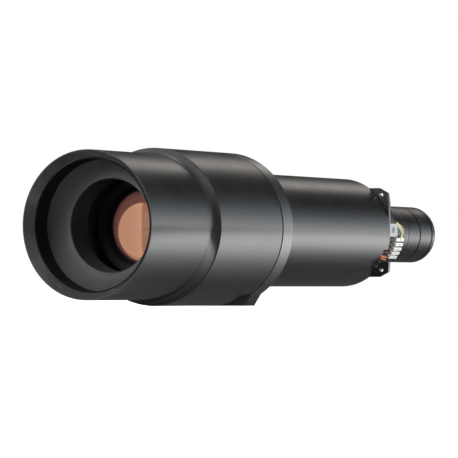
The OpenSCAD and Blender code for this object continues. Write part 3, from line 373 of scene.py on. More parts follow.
def length_node(tree, first, second):
    """Length of the arrow with two parts."""
    squares = [math_node(tree, "MULTIPLY", part, part) for part in (first, second)]
    return math_node(tree, "SQRT", math_node(tree, "ADD", *squares))


def ramp(tree, value, stops):
    """Runs a value through straight lines between (input, output) stops, of numbers or colours."""
    first, last = stops[0][0], stops[-1][0]
    reach = tree.nodes.new("ShaderNodeMapRange")
    tree.links.new(value, reach.inputs["Value"])
    reach.inputs["From Min"].default_value = first
    reach.inputs["From Max"].default_value = last
    colored = isinstance(stops[0][1], tuple)
    top = 1 if colored else max(level for _, level in stops)
    node = tree.nodes.new("ShaderNodeValToRGB")
    elements = node.color_ramp.elements
    while len(elements) < len(stops):
        elements.new(0.5)
    for element, (place, level) in zip(elements, stops):
        element.position = (place - first) / (last - first)
        element.color = (*level, 1) if colored else (level / top, level / top, level / top, 1)
    tree.links.new(reach.outputs[0], node.inputs[0])
    return node.outputs[0] if colored else math_node(tree, "MULTIPLY", node.outputs[0], top)


def noise_node(tree, place, scale, detail, dimensions="3D"):
    node = tree.nodes.new("ShaderNodeTexNoise")
    node.noise_dimensions = dimensions
    node.inputs["Detail"].default_value = detail
    tree.links.new(place, node.inputs["W" if dimensions == "1D" else "Vector"])
    feed(tree, node.inputs["Scale"], scale)
    return node.outputs[0]


def lathe_group():
    """Fine turning marks, which follow the stations on a cylinder and the radius on a face."""
    group, start, end = new_group("Turning marks", {"Lines per metre": 1500.0}, ("Height",))
    split = group.nodes.new("ShaderNodeSeparateXYZ")
    group.links.new(start.outputs["Place"], split.inputs[0])
    x, y, z = split.outputs
    along = math_node(group, "ADD", y, math_node(group, "MULTIPLY", length_node(group, x, z), 1.7))
    fine = noise_node(group, along, start.outputs["Lines per metre"], 2.0, "1D")
    coarse = noise_node(group, along, 260.0, 2.0, "1D")
    height = math_node(group, "ADD", math_node(group, "MULTIPLY", fine, 0.6),
                       math_node(group, "MULTIPLY", coarse, 0.4))
    group.links.new(height, end.inputs["Height"])
    return group


def grain_group():
    """Grain of an anodised, moulded or cast skin, and its slow change over the piece."""
    group, start, end = new_group("Skin grain", {"Grains per metre": 2600.0}, ("Height", "Mottle"))
    fine = noise_node(group, start.outputs["Place"], start.outputs["Grains per metre"], 3.0)
    slow = noise_node(group, start.outputs["Place"], 28.0, 4.0)
    group.links.new(fine, end.inputs["Height"])
    group.links.new(slow, end.inputs["Mottle"])
    return group


def handling_group():
    """Fine scratches and rubbed places that a piece gets in use."""
    group, start, end = new_group("Handling marks", {"Amount": 0.5}, ("Mask",))
    stretch = group.nodes.new("ShaderNodeMapping")
    stretch.inputs["Rotation"].default_value = (0.4, 0.9, 0.3)
    stretch.inputs["Scale"].default_value = (12.0, 700.0, 60.0)
    group.links.new(start.outputs["Place"], stretch.inputs["Vector"])
    scratch = noise_node(group, stretch.outputs[0], 1.0, 1.0)
    rubbed = noise_node(group, start.outputs["Place"], 45.0, 5.0)
    lines = math_node(group, "GREATER_THAN", scratch, SCRATCH_LEVEL)
    patch = math_node(group, "GREATER_THAN", rubbed, RUBBED_LEVEL)
    rubbed_lines = math_node(group, "MULTIPLY", lines, patch)
    mask = math_node(group, "MULTIPLY", rubbed_lines, start.outputs["Amount"])
    group.links.new(mask, end.inputs["Mask"])
    return group


LATHE = lathe_group()
GRAIN = grain_group()
HANDLING = handling_group()


def place_group(tree, group, place, **values):
    node = tree.nodes.new("ShaderNodeGroup")
    node.node_tree = group
    tree.links.new(place, node.inputs["Place"])
    for label, value in values.items():
        node.inputs[label.replace("_", " ")].default_value = value
    return node


def mix_colors(tree, factor, first, second):
    node = tree.nodes.new("ShaderNodeMix")
    node.data_type = "RGBA"
    tree.links.new(factor, node.inputs[0])
    feed(tree, node.inputs[6], first)
    feed(tree, node.inputs[7], second)
    return node.outputs[2]


def spread(tree, value, low_value, high_value):
    """Maps the middle range of a mask onto two values."""
    node = tree.nodes.new("ShaderNodeMapRange")
    tree.links.new(value, node.inputs["Value"])
    limits = (*MASK_RANGE, low_value, high_value)
    for label, limit in zip(("From Min", "From Max", "To Min", "To Max"), limits):
        node.inputs[label].default_value = limit
    return node.outputs[0]


MATERIALS = {}


def skin(name, dark, light, rough, lines=0.0, line_count=1500.0, grain=0.0, grain_count=2600.0,
         marks=0.0, mark_color=(0.3, 0.3, 0.3), **shader_values):
    """A surface whose colour and roughness change slowly, with turning marks, grain and scratches."""
    material = bpy.data.materials.new(name)
    material.use_nodes = True
    tree = material.node_tree
    shader = tree.nodes["Principled BSDF"]
    place = tree.nodes.new("ShaderNodeTexCoord").outputs["Object"]
    grains = place_group(tree, GRAIN, place, Grains_per_metre=grain_count)
    mottle = spread(tree, grains.outputs["Mottle"], 0.0, 1.0)
    color = mix_colors(tree, mottle, dark, light)
    if marks:
        worn = place_group(tree, HANDLING, place, Amount=marks)
        color = mix_colors(tree, worn.outputs["Mask"], color, mark_color)
    tree.links.new(color, shader.inputs["Base Color"])
    tree.links.new(spread(tree, grains.outputs["Mottle"], *rough), shader.inputs["Roughness"])
    heights = [math_node(tree, "MULTIPLY", grains.outputs["Height"], grain)]
    if lines:
        turning = place_group(tree, LATHE, place, Lines_per_metre=line_count)
        heights.append(math_node(tree, "MULTIPLY", turning.outputs["Height"], lines))
    bump = tree.nodes.new("ShaderNodeBump")
    bump.inputs["Distance"].default_value = MM
    height = heights[0] if len(heights) == 1 else math_node(tree, "ADD", *heights)
    tree.links.new(height, bump.inputs["Height"])
    tree.links.new(bump.outputs[0], shader.inputs["Normal"])
    for label, value in shader_values.items():
        shader.inputs[label.replace("_", " ")].default_value = value
    MATERIALS[name] = material
    return material


skin("satin_black", (0.007, 0.0072, 0.0078), (0.01, 0.0102, 0.011), (0.2, 0.26), lines=0.03,
     grain=0.006, marks=0.12, IOR=1.9, Coat_Weight=0.4, Coat_Roughness=0.2)
skin("turned_black", (0.006, 0.006, 0.0065), (0.01, 0.01, 0.011), (0.24, 0.34), lines=0.12,
     line_count=900.0, grain=0.01, marks=0.2, IOR=1.8, Coat_Weight=0.3, Coat_Roughness=0.3)
# A lighter copy of satin_black for the mount ring and its foot: painted light, so that they read
# lighter than the body
skin("painted_lighter_black", (0.02, 0.0203, 0.021), (0.026, 0.0263, 0.027), (0.2, 0.26), lines=0.03,
     grain=0.006, marks=0.12, IOR=1.9, Coat_Weight=0.9, Coat_Roughness=0.2)
skin("matt_black", (0.008, 0.008, 0.0085), (0.011, 0.011, 0.0115), (0.36, 0.44), lines=0.04,
     grain=0.01, IOR=1.7)
# Darker than the other blacks, for the inner parts, the bore lining and the front retaining ring:
# painted shade that keeps them dark where the lamps reach them
skin("painted_shade_black", (0.002, 0.002, 0.002), (0.003, 0.003, 0.003), (0.6, 0.7), lines=0.03,
     grain=0.01, IOR=1.3)
skin("bare_alloy", (0.5, 0.51, 0.53), (0.6, 0.61, 0.63), (0.28, 0.42), lines=0.06, grain=0.006,
     marks=0.3, Metallic=1.0)
skin("black_steel", (0.03, 0.03, 0.032), (0.05, 0.05, 0.053), (0.3, 0.45), grain=0.02, marks=0.5,
     Metallic=0.6)
skin("motor_steel", (0.46, 0.46, 0.48), (0.56, 0.56, 0.58), (0.22, 0.34), lines=0.02, grain=0.004,
     Metallic=1.0)
skin("gear_brass", (0.68, 0.5, 0.2), (0.76, 0.6, 0.28), (0.22, 0.36), lines=0.03, grain=0.006,
     marks=0.3, mark_color=(0.4, 0.3, 0.14), Metallic=1.0)
skin("white_plastic", (0.86, 0.85, 0.82), (0.92, 0.915, 0.89), (0.3, 0.42), grain=0.012)
skin("black_plastic", (0.012, 0.012, 0.013), (0.02, 0.02, 0.021), (0.4, 0.55), grain=0.03)
skin("grey_plastic", (0.38, 0.385, 0.4), (0.46, 0.465, 0.48), (0.4, 0.52), grain=0.03)
skin("boot_plastic", (0.11, 0.085, 0.075), (0.19, 0.15, 0.13), (0.42, 0.55), grain=0.03)
skin("yellow_insulation", (0.66, 0.6, 0.16), (0.76, 0.7, 0.24), (0.32, 0.42), grain=0.01)
skin("white_insulation", (0.74, 0.72, 0.64), (0.84, 0.82, 0.75), (0.32, 0.42), grain=0.01)
skin("green_insulation", (0.1, 0.24, 0.1), (0.16, 0.33, 0.15), (0.32, 0.42), grain=0.01)
skin("orange_insulation", (0.62, 0.17, 0.07), (0.72, 0.24, 0.11), (0.32, 0.42), grain=0.01)
skin("brown_insulation", (0.1, 0.035, 0.03), (0.16, 0.06, 0.05), (0.32, 0.42), grain=0.01)
skin("clear_glass", (0.9, 0.94, 0.95), (0.96, 0.98, 0.99), (0.01, 0.03), Transmission_Weight=1.0,
     IOR=1.52)


def painted_reflection_group():
    """Painted reflection on the amber coating: a bright disc, its lit half and the darker rim round it,
    fixed on the glass.
    """
    group, start, end = new_group("Painted coating reflection", {}, ("Disc", "Half", "Rim"))
    split = group.nodes.new("ShaderNodeSeparateXYZ")
    group.links.new(start.outputs["Place"], split.inputs[0])
    x, _, z = split.outputs

    def distance(height):
        lifted = math_node(group, "SUBTRACT", z, height)
        return length_node(group, x, lifted)

    disc = ramp(group, distance(-PAINTED_REFLECTION_DROP * MM), [
        (0.0, 0.86), (0.02, 0.9), (0.0262, 1.0), (0.0274, 0.0), (0.04, 0.0)])
    group.links.new(disc, end.inputs["Disc"])
    half = ramp(group, x, [(-0.04, 0.7), (-0.012, 0.82), (-0.001, 1.0), (0.0008, 0.35), (0.04, 0.3)])
    group.links.new(half, end.inputs["Half"])
    rim = ramp(group, distance(0), [
        (0.0, 0.0), (0.0285, 0.0), (0.0295, 0.35), (0.031, 0.15), (0.034, 1.0), (0.05, 1.0)])
    group.links.new(rim, end.inputs["Rim"])
    return group


def coated_glass():
    """Amber coated front element, with a painted reflection that glows for the camera alone."""
    material = skin("coated_glass", (0.002, 0.001, 0.001), (0.003, 0.0015, 0.001), (0.03, 0.05),
                    IOR=1.6, Coat_Weight=1.0, Coat_Roughness=0.02)
    tree = material.node_tree
    shader = tree.nodes["Principled BSDF"]
    place = tree.nodes.new("ShaderNodeTexCoord").outputs["Object"]
    painted_reflection = place_group(tree, painted_reflection_group(), place)
    # Colours of the painted reflection: its lit and dim halves, the disc's surround and the dark rim
    painted_lit_half = mix_colors(tree, painted_reflection.outputs["Half"], (0.2, 0.085, 0.045), (0.72, 0.36, 0.22))
    color = mix_colors(tree, painted_reflection.outputs["Disc"], (0.16, 0.065, 0.05), painted_lit_half)
    color = mix_colors(tree, painted_reflection.outputs["Rim"], color, (0.012, 0.005, 0.006))
    tree.links.new(color, shader.inputs["Emission Color"])
    rays = tree.nodes.new("ShaderNodeLightPath")
    shown = math_node(tree, "MULTIPLY", rays.outputs["Is Camera Ray"], PAINTED_REFLECTION_STRENGTH)
    tree.links.new(shown, shader.inputs["Emission Strength"])


coated_glass()


def give(piece, slot):
    """Gives an object the finish of a material slot."""
    piece.data.materials.clear()
    piece.data.materials.append(MATERIALS[slot])
    return piece


def fit_to(piece, slot, *nodes, body="housing", finish=None):
    """A finished piece takes its finish, its body and the place of its CAD nodes."""
    give(piece, finish or slot)
    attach(piece, body)
    if nodes:
        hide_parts(*nodes)
    return piece


# Turned casings

FLARE_STEPS = 24
FLARE_R = BODY_R - EDGE_BEVEL
FLARE_START = math.radians(22)


def flare_point(share):
    """A point of the hollow flare, from the hood at 0 to the body at 1."""
    turn = FLARE_START + share * (math.pi / 2 - FLARE_START)
    rise = 1 - math.cos(turn) / math.cos(FLARE_START)
    run = (math.sin(turn) - math.sin(FLARE_START)) / (1 - math.sin(FLARE_START))
    return HOOD_R + (FLARE_R - HOOD_R) * rise, FLARE_FRONT - FLARE_LEN * run


def hood():
    """Front hood with its bevelled lip and its hollow flare."""
    piece = turned("hood", [
        (BORE_R, BAFFLE_SEAT), (HOOD_R - RIM_LAND - LIP_W, HOOD_FRONT - LIP_DEPTH),
        (HOOD_R - RIM_LAND, HOOD_FRONT), (HOOD_R, HOOD_FRONT),
        *[flare_point(i / FLARE_STEPS) for i in range(FLARE_STEPS + 1)],
        (BODY_IN_R - FIT, BODY_FRONT), (BODY_IN_R - FIT, HOOD_REAR), (BORE_R, HOOD_REAR),
    ])
    return fit_to(soften(piece, HOOD_EDGE, 3), "satin_black", "front_hood")


def baffle():
    """Light baffle: a funnel, a throat and the skirt that sits in the hood."""
    throat_front = BAFFLE_SEAT - FUNNEL_LEN
    throat_rear = throat_front - THROAT_LEN
    funnel = [(BAFFLE_R - (BAFFLE_R - THROAT_R) * i / FUNNEL_STEPS,
               BAFFLE_SEAT - FUNNEL_LEN * math.sin(math.pi / 2 * i / FUNNEL_STEPS) ** FUNNEL_POWER)
              for i in range(FUNNEL_STEPS + 1)]
    piece = turned("baffle", [
        *funnel, (THROAT_R - RIM_LAND, throat_front - RIM_LAND), (THROAT_END_R, throat_rear),
        (THROAT_END_R + BAFFLE_WALL, throat_rear), (THROAT_R + BAFFLE_WALL, throat_front - BAFFLE_WALL),
        (BAFFLE_R - BAFFLE_WALL, BAFFLE_SEAT - 2 * BAFFLE_WALL),
        (BAFFLE_R - BAFFLE_WALL, BAFFLE_SEAT - SKIRT_LEN), (BAFFLE_R, BAFFLE_SEAT - SKIRT_LEN),
    ])
    return fit_to(soften(piece, BAFFLE_EDGE, 3), "matt_black", "front_baffle")


def lining():
    """Black flocked lining of the hood's bore, in the darkest black, which paints the shade inside the
    bore.
    """
    front = HOOD_FRONT - LIP_DEPTH
    rear = BAFFLE_SEAT + FIT
    piece = turned("bore_lining", [
        (BORE_R - LINING_T, rear), (BORE_R - LINING_T, front), (BORE_R, front), (BORE_R, rear),
    ])
    return fit_to(shade(piece), "matt_black", finish="painted_shade_black")


def body():
    """Body, with the seam groove at its rear edge."""
    piece = turned("body", [
        (SHOULDER_R, BODY_REAR), (BODY_R - SEAM_DEPTH, BODY_REAR),
        (BODY_R - SEAM_DEPTH, BODY_REAR + SEAM_W),
        (BODY_R, BODY_REAR + SEAM_W), (BODY_R, BODY_FRONT), (BODY_IN_R, BODY_FRONT),
        (BODY_IN_R, BULKHEAD_REAR), (SHOULDER_R, BULKHEAD_REAR),
    ])
    return fit_to(soften(piece, EDGE_BEVEL, 2), "satin_black", "body_shell")


RING_SCREW_R = 70.0
RING_SCREWS = [60.0 * i for i in range(6)]
RING_HEAD_R = 2.2
RING_HEAD_DEPTH = 3.5
FOOT_HALF_W = 31.3
FOOT_TOP_HALF_W = 39.0
FOOT_SLOPE_H = 12.1
FOOT_HOLE_X = 20.0
FOOT_HOLE_R = 2.1
FOOT_HOLE_DEPTH = 10.0


def mount_ring():
    """Mount ring with its flat foot, the screw pockets and the two threaded holes."""
    piece = turned("ring_with_foot", [
        (TUBE_R + FIT, RING_REAR), (BODY_R, RING_REAR), (BODY_R, BODY_REAR),
        (SHOULDER_R - FIT, BODY_REAR), (SHOULDER_R - FIT, RING_SPIGOT),
        (TUBE_FLANGE_R + FIT, RING_SPIGOT), (TUBE_FLANGE_R + FIT, RING_SPIGOT - TUBE_FLANGE_T),
        (TUBE_R + FIT, RING_SPIGOT - TUBE_FLANGE_T),
    ])
    foot = plate("foot", [
        (-FOOT_HALF_W, FOOT_BASE), (FOOT_HALF_W, FOOT_BASE),
        (FOOT_TOP_HALF_W, FOOT_BASE + FOOT_SLOPE_H), (-FOOT_TOP_HALF_W, FOOT_BASE + FOOT_SLOPE_H),
    ], RING_REAR, BODY_REAR)
    boolean(foot, rod("foot_clear", (0, 0), RING_REAR - OVERRUN, BODY_REAR + OVERRUN,
                      BODY_R - OVERRUN, SPIN_STEPS))
    boolean(piece, foot, "UNION")
    soften(piece, EDGE_BEVEL, 2)
    for angle in RING_SCREWS:
        boolean(piece, rod("pocket", (RING_SCREW_R, angle), RING_REAR - OVERRUN,
                           RING_REAR + RING_HEAD_DEPTH, RING_HEAD_R + FIT))
    for side in (-1, 1):
        middle = (side * FOOT_HOLE_X, -(RING_REAR + BODY_REAR) / 2, FOOT_BASE + FOOT_HOLE_DEPTH / 2)
        boolean(piece, pin("foot_hole", Vector(middle) * MM, FOOT_HOLE_R, FOOT_HOLE_DEPTH + OVERRUN))
    # Its finish is the lighter copy of the satin black: painted light
    return fit_to(shade(piece), "satin_black", "mount_ring", finish="painted_lighter_black")


def main_tube():
    """Main tube, with the notch in its rear rim where the orange leads come out."""
    piece = turned("long_tube", [
        (TUBE_R, TUBE_REAR), (TUBE_R, TUBE_FRONT - TUBE_FLANGE_T),
        (TUBE_FLANGE_R, TUBE_FRONT - TUBE_FLANGE_T), (TUBE_FLANGE_R, TUBE_FRONT),
        (TUBE_IN_R, TUBE_FRONT), (TUBE_IN_R, TUBE_REAR + TUBE_FLANGE_T),
        (TUBE_LIP_R, TUBE_REAR + TUBE_FLANGE_T), (TUBE_LIP_R, TUBE_REAR),
    ])
    soften(piece, TUBE_EDGE, 2)
    inner, outer = TUBE_IN_R - OVERRUN, TUBE_R + 2 * OVERRUN
    wedge = []
    for radius, end in ((inner, 0), (outer, 0), (outer, 1), (inner, 1)):
        place = point(radius, NOTCH_ANGLES[end], 0) / MM
        wedge.append((place.x, place.z))
    boolean(piece, plate("notch", wedge, TUBE_REAR - OVERRUN, TUBE_REAR + NOTCH_DEPTH))
    boolean(piece, block("window", (WINDOW_X, TUBE_IN_R),
                         (TUBE_REAR - OVERRUN, TUBE_REAR + TUBE_FLANGE_T + OVERRUN), WINDOW_Z))
    return fit_to(shade(piece), "satin_black", "main_tube")


CORNER_W = 11.5
CORNER_H = 5.2
SIDE_STEP = 1.6
SIDE_STEP_H = 10.0
COLLAR_R = 54.0
COLLAR_WALL = 4.0
MOUNT_X = 44.5
MOUNT_Z = 38.0
MOUNT_HOLE_R = 2.25
FLANGE_SCREW_R = 47.2
FLANGE_SCREWS = (42.0, 138.0, 222.0, 318.0)


def flange():
    """Squared mounting flange, with the collar behind it and the wiring window through both."""
    side = [
        (FLANGE_W - CORNER_W, -FLANGE_H), (FLANGE_W - SIDE_STEP / 2, CORNER_H - FLANGE_H),
        (FLANGE_W, CORNER_H + SIDE_STEP_H - FLANGE_H), (FLANGE_W, FLANGE_H - CORNER_H - SIDE_STEP_H),
        (FLANGE_W - SIDE_STEP, FLANGE_H - CORNER_H), (FLANGE_W - CORNER_W, FLANGE_H),
    ]
    piece = plate("flange", side + [(-x, z) for x, z in reversed(side)], 0, FLANGE_T)
    collar = turned("collar", [
        (COLLAR_R - COLLAR_WALL, COLLAR_REAR), (COLLAR_R, COLLAR_REAR), (COLLAR_R, FLANGE_T / 2),
        (COLLAR_R - COLLAR_WALL, FLANGE_T / 2),
    ])
    band = block("band", (-COLLAR_R - OVERRUN, COLLAR_R + OVERRUN), (COLLAR_REAR - OVERRUN, FLANGE_T),
                 (-FLANGE_H, FLANGE_H))
    boolean(collar, band, "INTERSECT")
    boolean(piece, collar, "UNION")
    boolean(piece, rod("bore", (0, 0), -OVERRUN, FLANGE_T + OVERRUN, BARREL_R + 3 * FIT, SPIN_STEPS))
    boolean(piece, block("window", (WINDOW_X, 2 * COLLAR_R),
                         (COLLAR_REAR - OVERRUN, FLANGE_T + OVERRUN), WINDOW_Z))
    soften(piece, FLANGE_EDGE, 2)
    for x in (-MOUNT_X, MOUNT_X):
        for z in (-MOUNT_Z, MOUNT_Z):
            place = (math.hypot(x, z), math.degrees(math.atan2(z, x)))
            boolean(piece, rod("hole", place, -OVERRUN, FLANGE_T + OVERRUN, MOUNT_HOLE_R))
    return fit_to(shade(piece), "satin_black", "mount_flange")


def barrel():
    """Rear barrel with two turned grooves."""
    first, second = GROOVES
    flange_rear = BARREL_FRONT - BARREL_FLANGE_T
    bottom_r = BARREL_REAR_R - GROOVE_DEPTH
    bore_r = RELAY_R + FIT
    piece = turned("slim_barrel", [
        (bore_r - RELAY_STEP, BARREL_FRONT), (BARREL_FLANGE_R, BARREL_FRONT),
        (BARREL_FLANGE_R, flange_rear), (BARREL_R, flange_rear), (BARREL_R, first + TAPER_LEN),
        (BARREL_REAR_R + GROOVE_DEPTH / 2, first), (bottom_r, first), (bottom_r, first - GROOVE_W),
        (BARREL_REAR_R, first - GROOVE_W), (BARREL_REAR_R, second),
        (bottom_r, second), (bottom_r, second - GROOVE_W),
        (BARREL_REAR_R, second - GROOVE_W), (BARREL_REAR_R, BARREL_END), (bore_r, BARREL_END),
        (bore_r, RELAY_SHOULDER), (bore_r - RELAY_STEP, RELAY_SHOULDER),
    ])
    return fit_to(soften(piece, BARREL_EDGE, 2), "turned_black", "rear_barrel")


def end_ring():
    """Threaded end ring with two spanner notches."""
    bottom_r = BARREL_REAR_R - GROOVE_DEPTH
    piece = turned("end_cap_ring", [
        (END_OPEN_R, RELAY_SEAT), (RELAY_R, RELAY_SEAT), (RELAY_R, BARREL_END),
        (bottom_r, BARREL_END), (bottom_r, BARREL_END - GROOVE_W),
        (BARREL_REAR_R, BARREL_END - GROOVE_W), (BARREL_REAR_R, LENS_END + END_ROUND),
        (BARREL_REAR_R - END_CHAMFER, LENS_END + END_CHAMFER), (BARREL_REAR_R - END_ROUND, LENS_END),
        (END_OPEN_R, LENS_END),
    ])
    soften(piece, END_EDGE, 2)
    for angle in NOTCH_SPIN:
        tool = block("spanner_notch", (BARREL_REAR_R - NOTCH_W, BARREL_REAR_R + OVERRUN),
                     (LENS_END - OVERRUN, LENS_END + NOTCH_W / 2), (-NOTCH_W / 2, NOTCH_W / 2))
        boolean(piece, ring_of("spanner_notch", tool, [angle]))
    return fit_to(shade(piece), "turned_black", "end_ring")


# Screws

SOCKET_SIDES = 6
# Length, radius, head radius and head height, and -1 for a head that points rearwards
RING_SCREW_SIZES = (24.0, 1.25, RING_HEAD_R, 2.5, -1)
FLANGE_SCREW_SIZES = (8.0, 1.5, 2.6, 2.6, -1)


def screw(name, place, seat, length, radius, head_r, head_h, towards):
    """A cap screw whose head lies on its seat and points rearwards at -1 or forwards at 1."""
    head = rod(name, place, *sorted((seat, seat + towards * head_h)), head_r)
    socket_depth = head_h / 2
    top = seat + towards * head_h
    boolean(head, rod("socket", place, *sorted((top - towards * socket_depth, top + towards * OVERRUN)),
                      radius, SOCKET_SIDES))
    soften(head, SCREW_EDGE, 2)
    shank = rod(name, place, *sorted((seat - towards * length, seat)), radius)
    return joined(name, [head, shade(shank)])


def screws(name, node, angles, *sizes):
    """The screws of one CAD node, at their angles round the axis."""
    piece = ring_of(name, screw(name, *sizes), angles)
    return fit_to(piece, "black_steel", node)


# Glass


GLASS_STEPS = 28


def sag(radius, curve):
    """Depth of a round face of a radius of curvature at a radius."""
    return curve - math.sqrt(curve * curve - radius * radius)


def glass(name, rim, radius, clear_r, edge_t, front_curve, back_curve):
    """A lens element, bulging where its curve is positive and hollow where it is negative."""

    def face(curve, station, side):
        bulge = 1 if curve > 0 else -1
        depth = sag(clear_r, abs(curve))
        places = [clear_r * i / GLASS_STEPS for i in range(GLASS_STEPS + 1)]
        return [(r, station + side * bulge * (depth - sag(r, abs(curve)))) for r in places]

    front = face(front_curve, rim, 1)
    back = face(back_curve, rim - edge_t, -1)
    outline = front + [(radius, rim), (radius, rim - edge_t)] + back[::-1]
    return turned(name, outline, closed=False)


FRONT_RIM = 402.0
FRONT_LENS_R = 37.5
FRONT_CLEAR_R = 34.5
FRONT_EDGE_T = 8.0
FRONT_CURVES = (110.0, -90.0)
REAR_EDGE_T = 7.0
REAR_CURVES = (90.0, -90.0)
RETAINER_LAND = 1


def front_glass():
    """Amber front element."""
    piece = shade(glass("front_glass", FRONT_RIM, FRONT_LENS_R, FRONT_CLEAR_R, FRONT_EDGE_T,
                        *FRONT_CURVES))
    return fit_to(piece, "coated_glass", "front_lens", body="focus_barrel")


def front_ring():
    """Retaining ring of the front element, dished towards the glass."""
    front = -low("front_lens_ring", 1)
    piece = turned("retaining_ring", [
        (FRONT_CLEAR_R, FRONT_RIM), (FRONT_LENS_R, FRONT_RIM), (FRONT_LENS_R, front),
        (FRONT_LENS_R - RETAINER_LAND, front),
    ])
    soften(piece, RETAINER_EDGE, 2)
    # Its finish is the darkest black, painted shade that keeps its face dark under the front lamp
    return fit_to(piece, "matt_black", "front_lens_ring", body="focus_barrel", finish="painted_shade_black")


def rear_glass():
    """Rearmost element, on the seat of the end ring."""
    piece = shade(glass("rear_glass", RELAY_SEAT + REAR_EDGE_T, RELAY_R, RELAY_R - RELAY_STEP,
                        REAR_EDGE_T, *REAR_CURVES))
    return fit_to(piece, "clear_glass", "rear_lens")


# Wiring

HOLDER_R = 34.7
PLUG_W = 3.2
PLUG_H = 4.2
PLUG_LEN = 7.2
PLUG_STEP = 7.5
PLUG_ANGLES = [-10.2 - PLUG_STEP * i for i in range(5)]
HOLDER_FRONT = -34.0
HOLDER_REAR = -68.0
HEADER_REAR = -61.5
PLUG_REAR = -52.5
BOOT_REAR = -44.0
PANEL_MARGIN = 0.55
HEADER_RECESS = 0.3
PLUG_RECESS = 0.22
LATCH_START = 5.6
LATCH_HALF_W = 0.6
LATCH_T = 0.4
CONTACT_START, CONTACT_END = 5.4, 7.4
CONTACT_PLACE, CONTACT_HALF_W = 0.6, 0.3


def top_faces(piece, height):
    """Selects the faces of a piece at angle zero that look outwards at a height, in edit mode."""
    bpy.ops.mesh.select_all(action="DESELECT")
    mesh = bmesh.from_edit_mesh(piece.data)
    for face in mesh.faces:
        face.select = face.normal.x > 0.9 and abs(face.calc_center_median().x / MM - height) < 0.05
    bmesh.update_edit_mesh(piece.data)


def housing_half(name, rear, recess):
    """One half of a white connector, with a recessed panel in its outer face."""
    piece = block(name, (HOLDER_R, HOLDER_R + PLUG_H), (rear, rear + PLUG_LEN),
                  (-PLUG_W / 2, PLUG_W / 2))
    edit(piece)
    top_faces(piece, HOLDER_R + PLUG_H)
    bpy.ops.mesh.inset(thickness=PANEL_MARGIN * MM)
    bpy.ops.mesh.extrude_region_move(TRANSFORM_OT_translate={"value": (-recess * MM, 0, 0)})
    close_up()
    leave_edit()
    return soften(piece, PLUG_EDGE, 2)


def header_row():
    """Rear halves of the connectors, each with its latch."""
    half = housing_half("header", HEADER_REAR, HEADER_RECESS)
    latch = block("latch", (HOLDER_R + PLUG_H - LATCH_T, HOLDER_R + PLUG_H),
                  (HEADER_REAR + LATCH_START, HEADER_REAR + PLUG_LEN), (-LATCH_HALF_W, LATCH_HALF_W))
    soften(latch, LATCH_EDGE, 2)
    piece = ring_of("white_headers", joined("header", [half, latch]), PLUG_ANGLES)
    return fit_to(piece, "white_plastic", "header_row")


def plug_row():
    """Front halves of the connectors, each with two contact windows."""
    half = housing_half("plug", PLUG_REAR, PLUG_RECESS)
    top = HOLDER_R + PLUG_H
    for side in (-1, 1):
        middle = side * CONTACT_PLACE
        boolean(half, block("contact_window", (top - OVERRUN, top + OVERRUN),
                            (PLUG_REAR + CONTACT_START, PLUG_REAR + CONTACT_END),
                            (middle - CONTACT_HALF_W, middle + CONTACT_HALF_W)))
    piece = ring_of("white_plugs", shade(half), PLUG_ANGLES)
    return fit_to(piece, "white_plastic", "plug_row")


BOOT_RIBS = 4
BOOT_INSET = 0.5
BOOT_SHRINK = 0.06
RIB_SHARE = 0.62
WAIST_DEPTH = 0.8
WAIST_WIDTH = 0.72


def boots():
    """Ribbed rubber boots ahead of the plugs, which narrow towards their leads."""
    width = (PLUG_W - BOOT_INSET) / 2
    depth = PLUG_H - BOOT_INSET
    rib = (HOLDER_FRONT - BOOT_REAR) / BOOT_RIBS
    parts = []
    for i in range(BOOT_RIBS):
        rear = BOOT_REAR + i * rib
        shrink = 1 - BOOT_SHRINK * i
        parts.append(block("rib", (HOLDER_R, HOLDER_R + depth * shrink),
                           (rear, rear + RIB_SHARE * rib), (-width * shrink, width * shrink)))
        parts.append(block("waist", (HOLDER_R, HOLDER_R + depth * shrink * WAIST_DEPTH),
                           (rear + RIB_SHARE * rib, rear + rib),
                           (-width * WAIST_WIDTH, width * WAIST_WIDTH)))
    piece = ring_of("rubber_boots", soften(joined("boot", parts), BOOT_EDGE, 2), PLUG_ANGLES)
    return fit_to(piece, "boot_plastic", "plug_boots")


SECTOR_STEPS = 4


def holder():
    """Curved black holder on the barrel that the connectors sit on."""
    piece = turned("plug_holder", [
        (BARREL_R + FIT, HOLDER_REAR), (HOLDER_R, HOLDER_REAR), (HOLDER_R, HOLDER_FRONT),
        (BARREL_R + FIT, HOLDER_FRONT),
    ])
    first, last = PLUG_ANGLES[0] + PLUG_STEP, PLUG_ANGLES[-1] - PLUG_STEP
    reach = 2 * HOLDER_R
    corners = [(0, 0)]
    for i in range(SECTOR_STEPS + 1):
        place = point(reach, last + (first - last) * i / SECTOR_STEPS, 0) / MM
        corners.append((place.x, place.z))
    boolean(piece, plate("sector", corners, HOLDER_REAR - OVERRUN, HOLDER_FRONT + OVERRUN), "INTERSECT")
    return fit_to(soften(piece, HOLDER_EDGE, 2), "black_plastic", "connector_holder")


CLAMP_X = (36.0, 45.0)
CLAMP_Z = (-4.0, 9.5)
CLAMP_STATION = (-33.0, -14.0)
CLAMP_ARM_Z = (5.0, 14.5)
CLAMP_ARM_INSET = 1
CLAMP_EYE_R = 3.2
CLAMP_SCREW_R = 2.6
CLAMP_SOCKET_R = 1.5
CLAMP_HEAD_H = 2.6


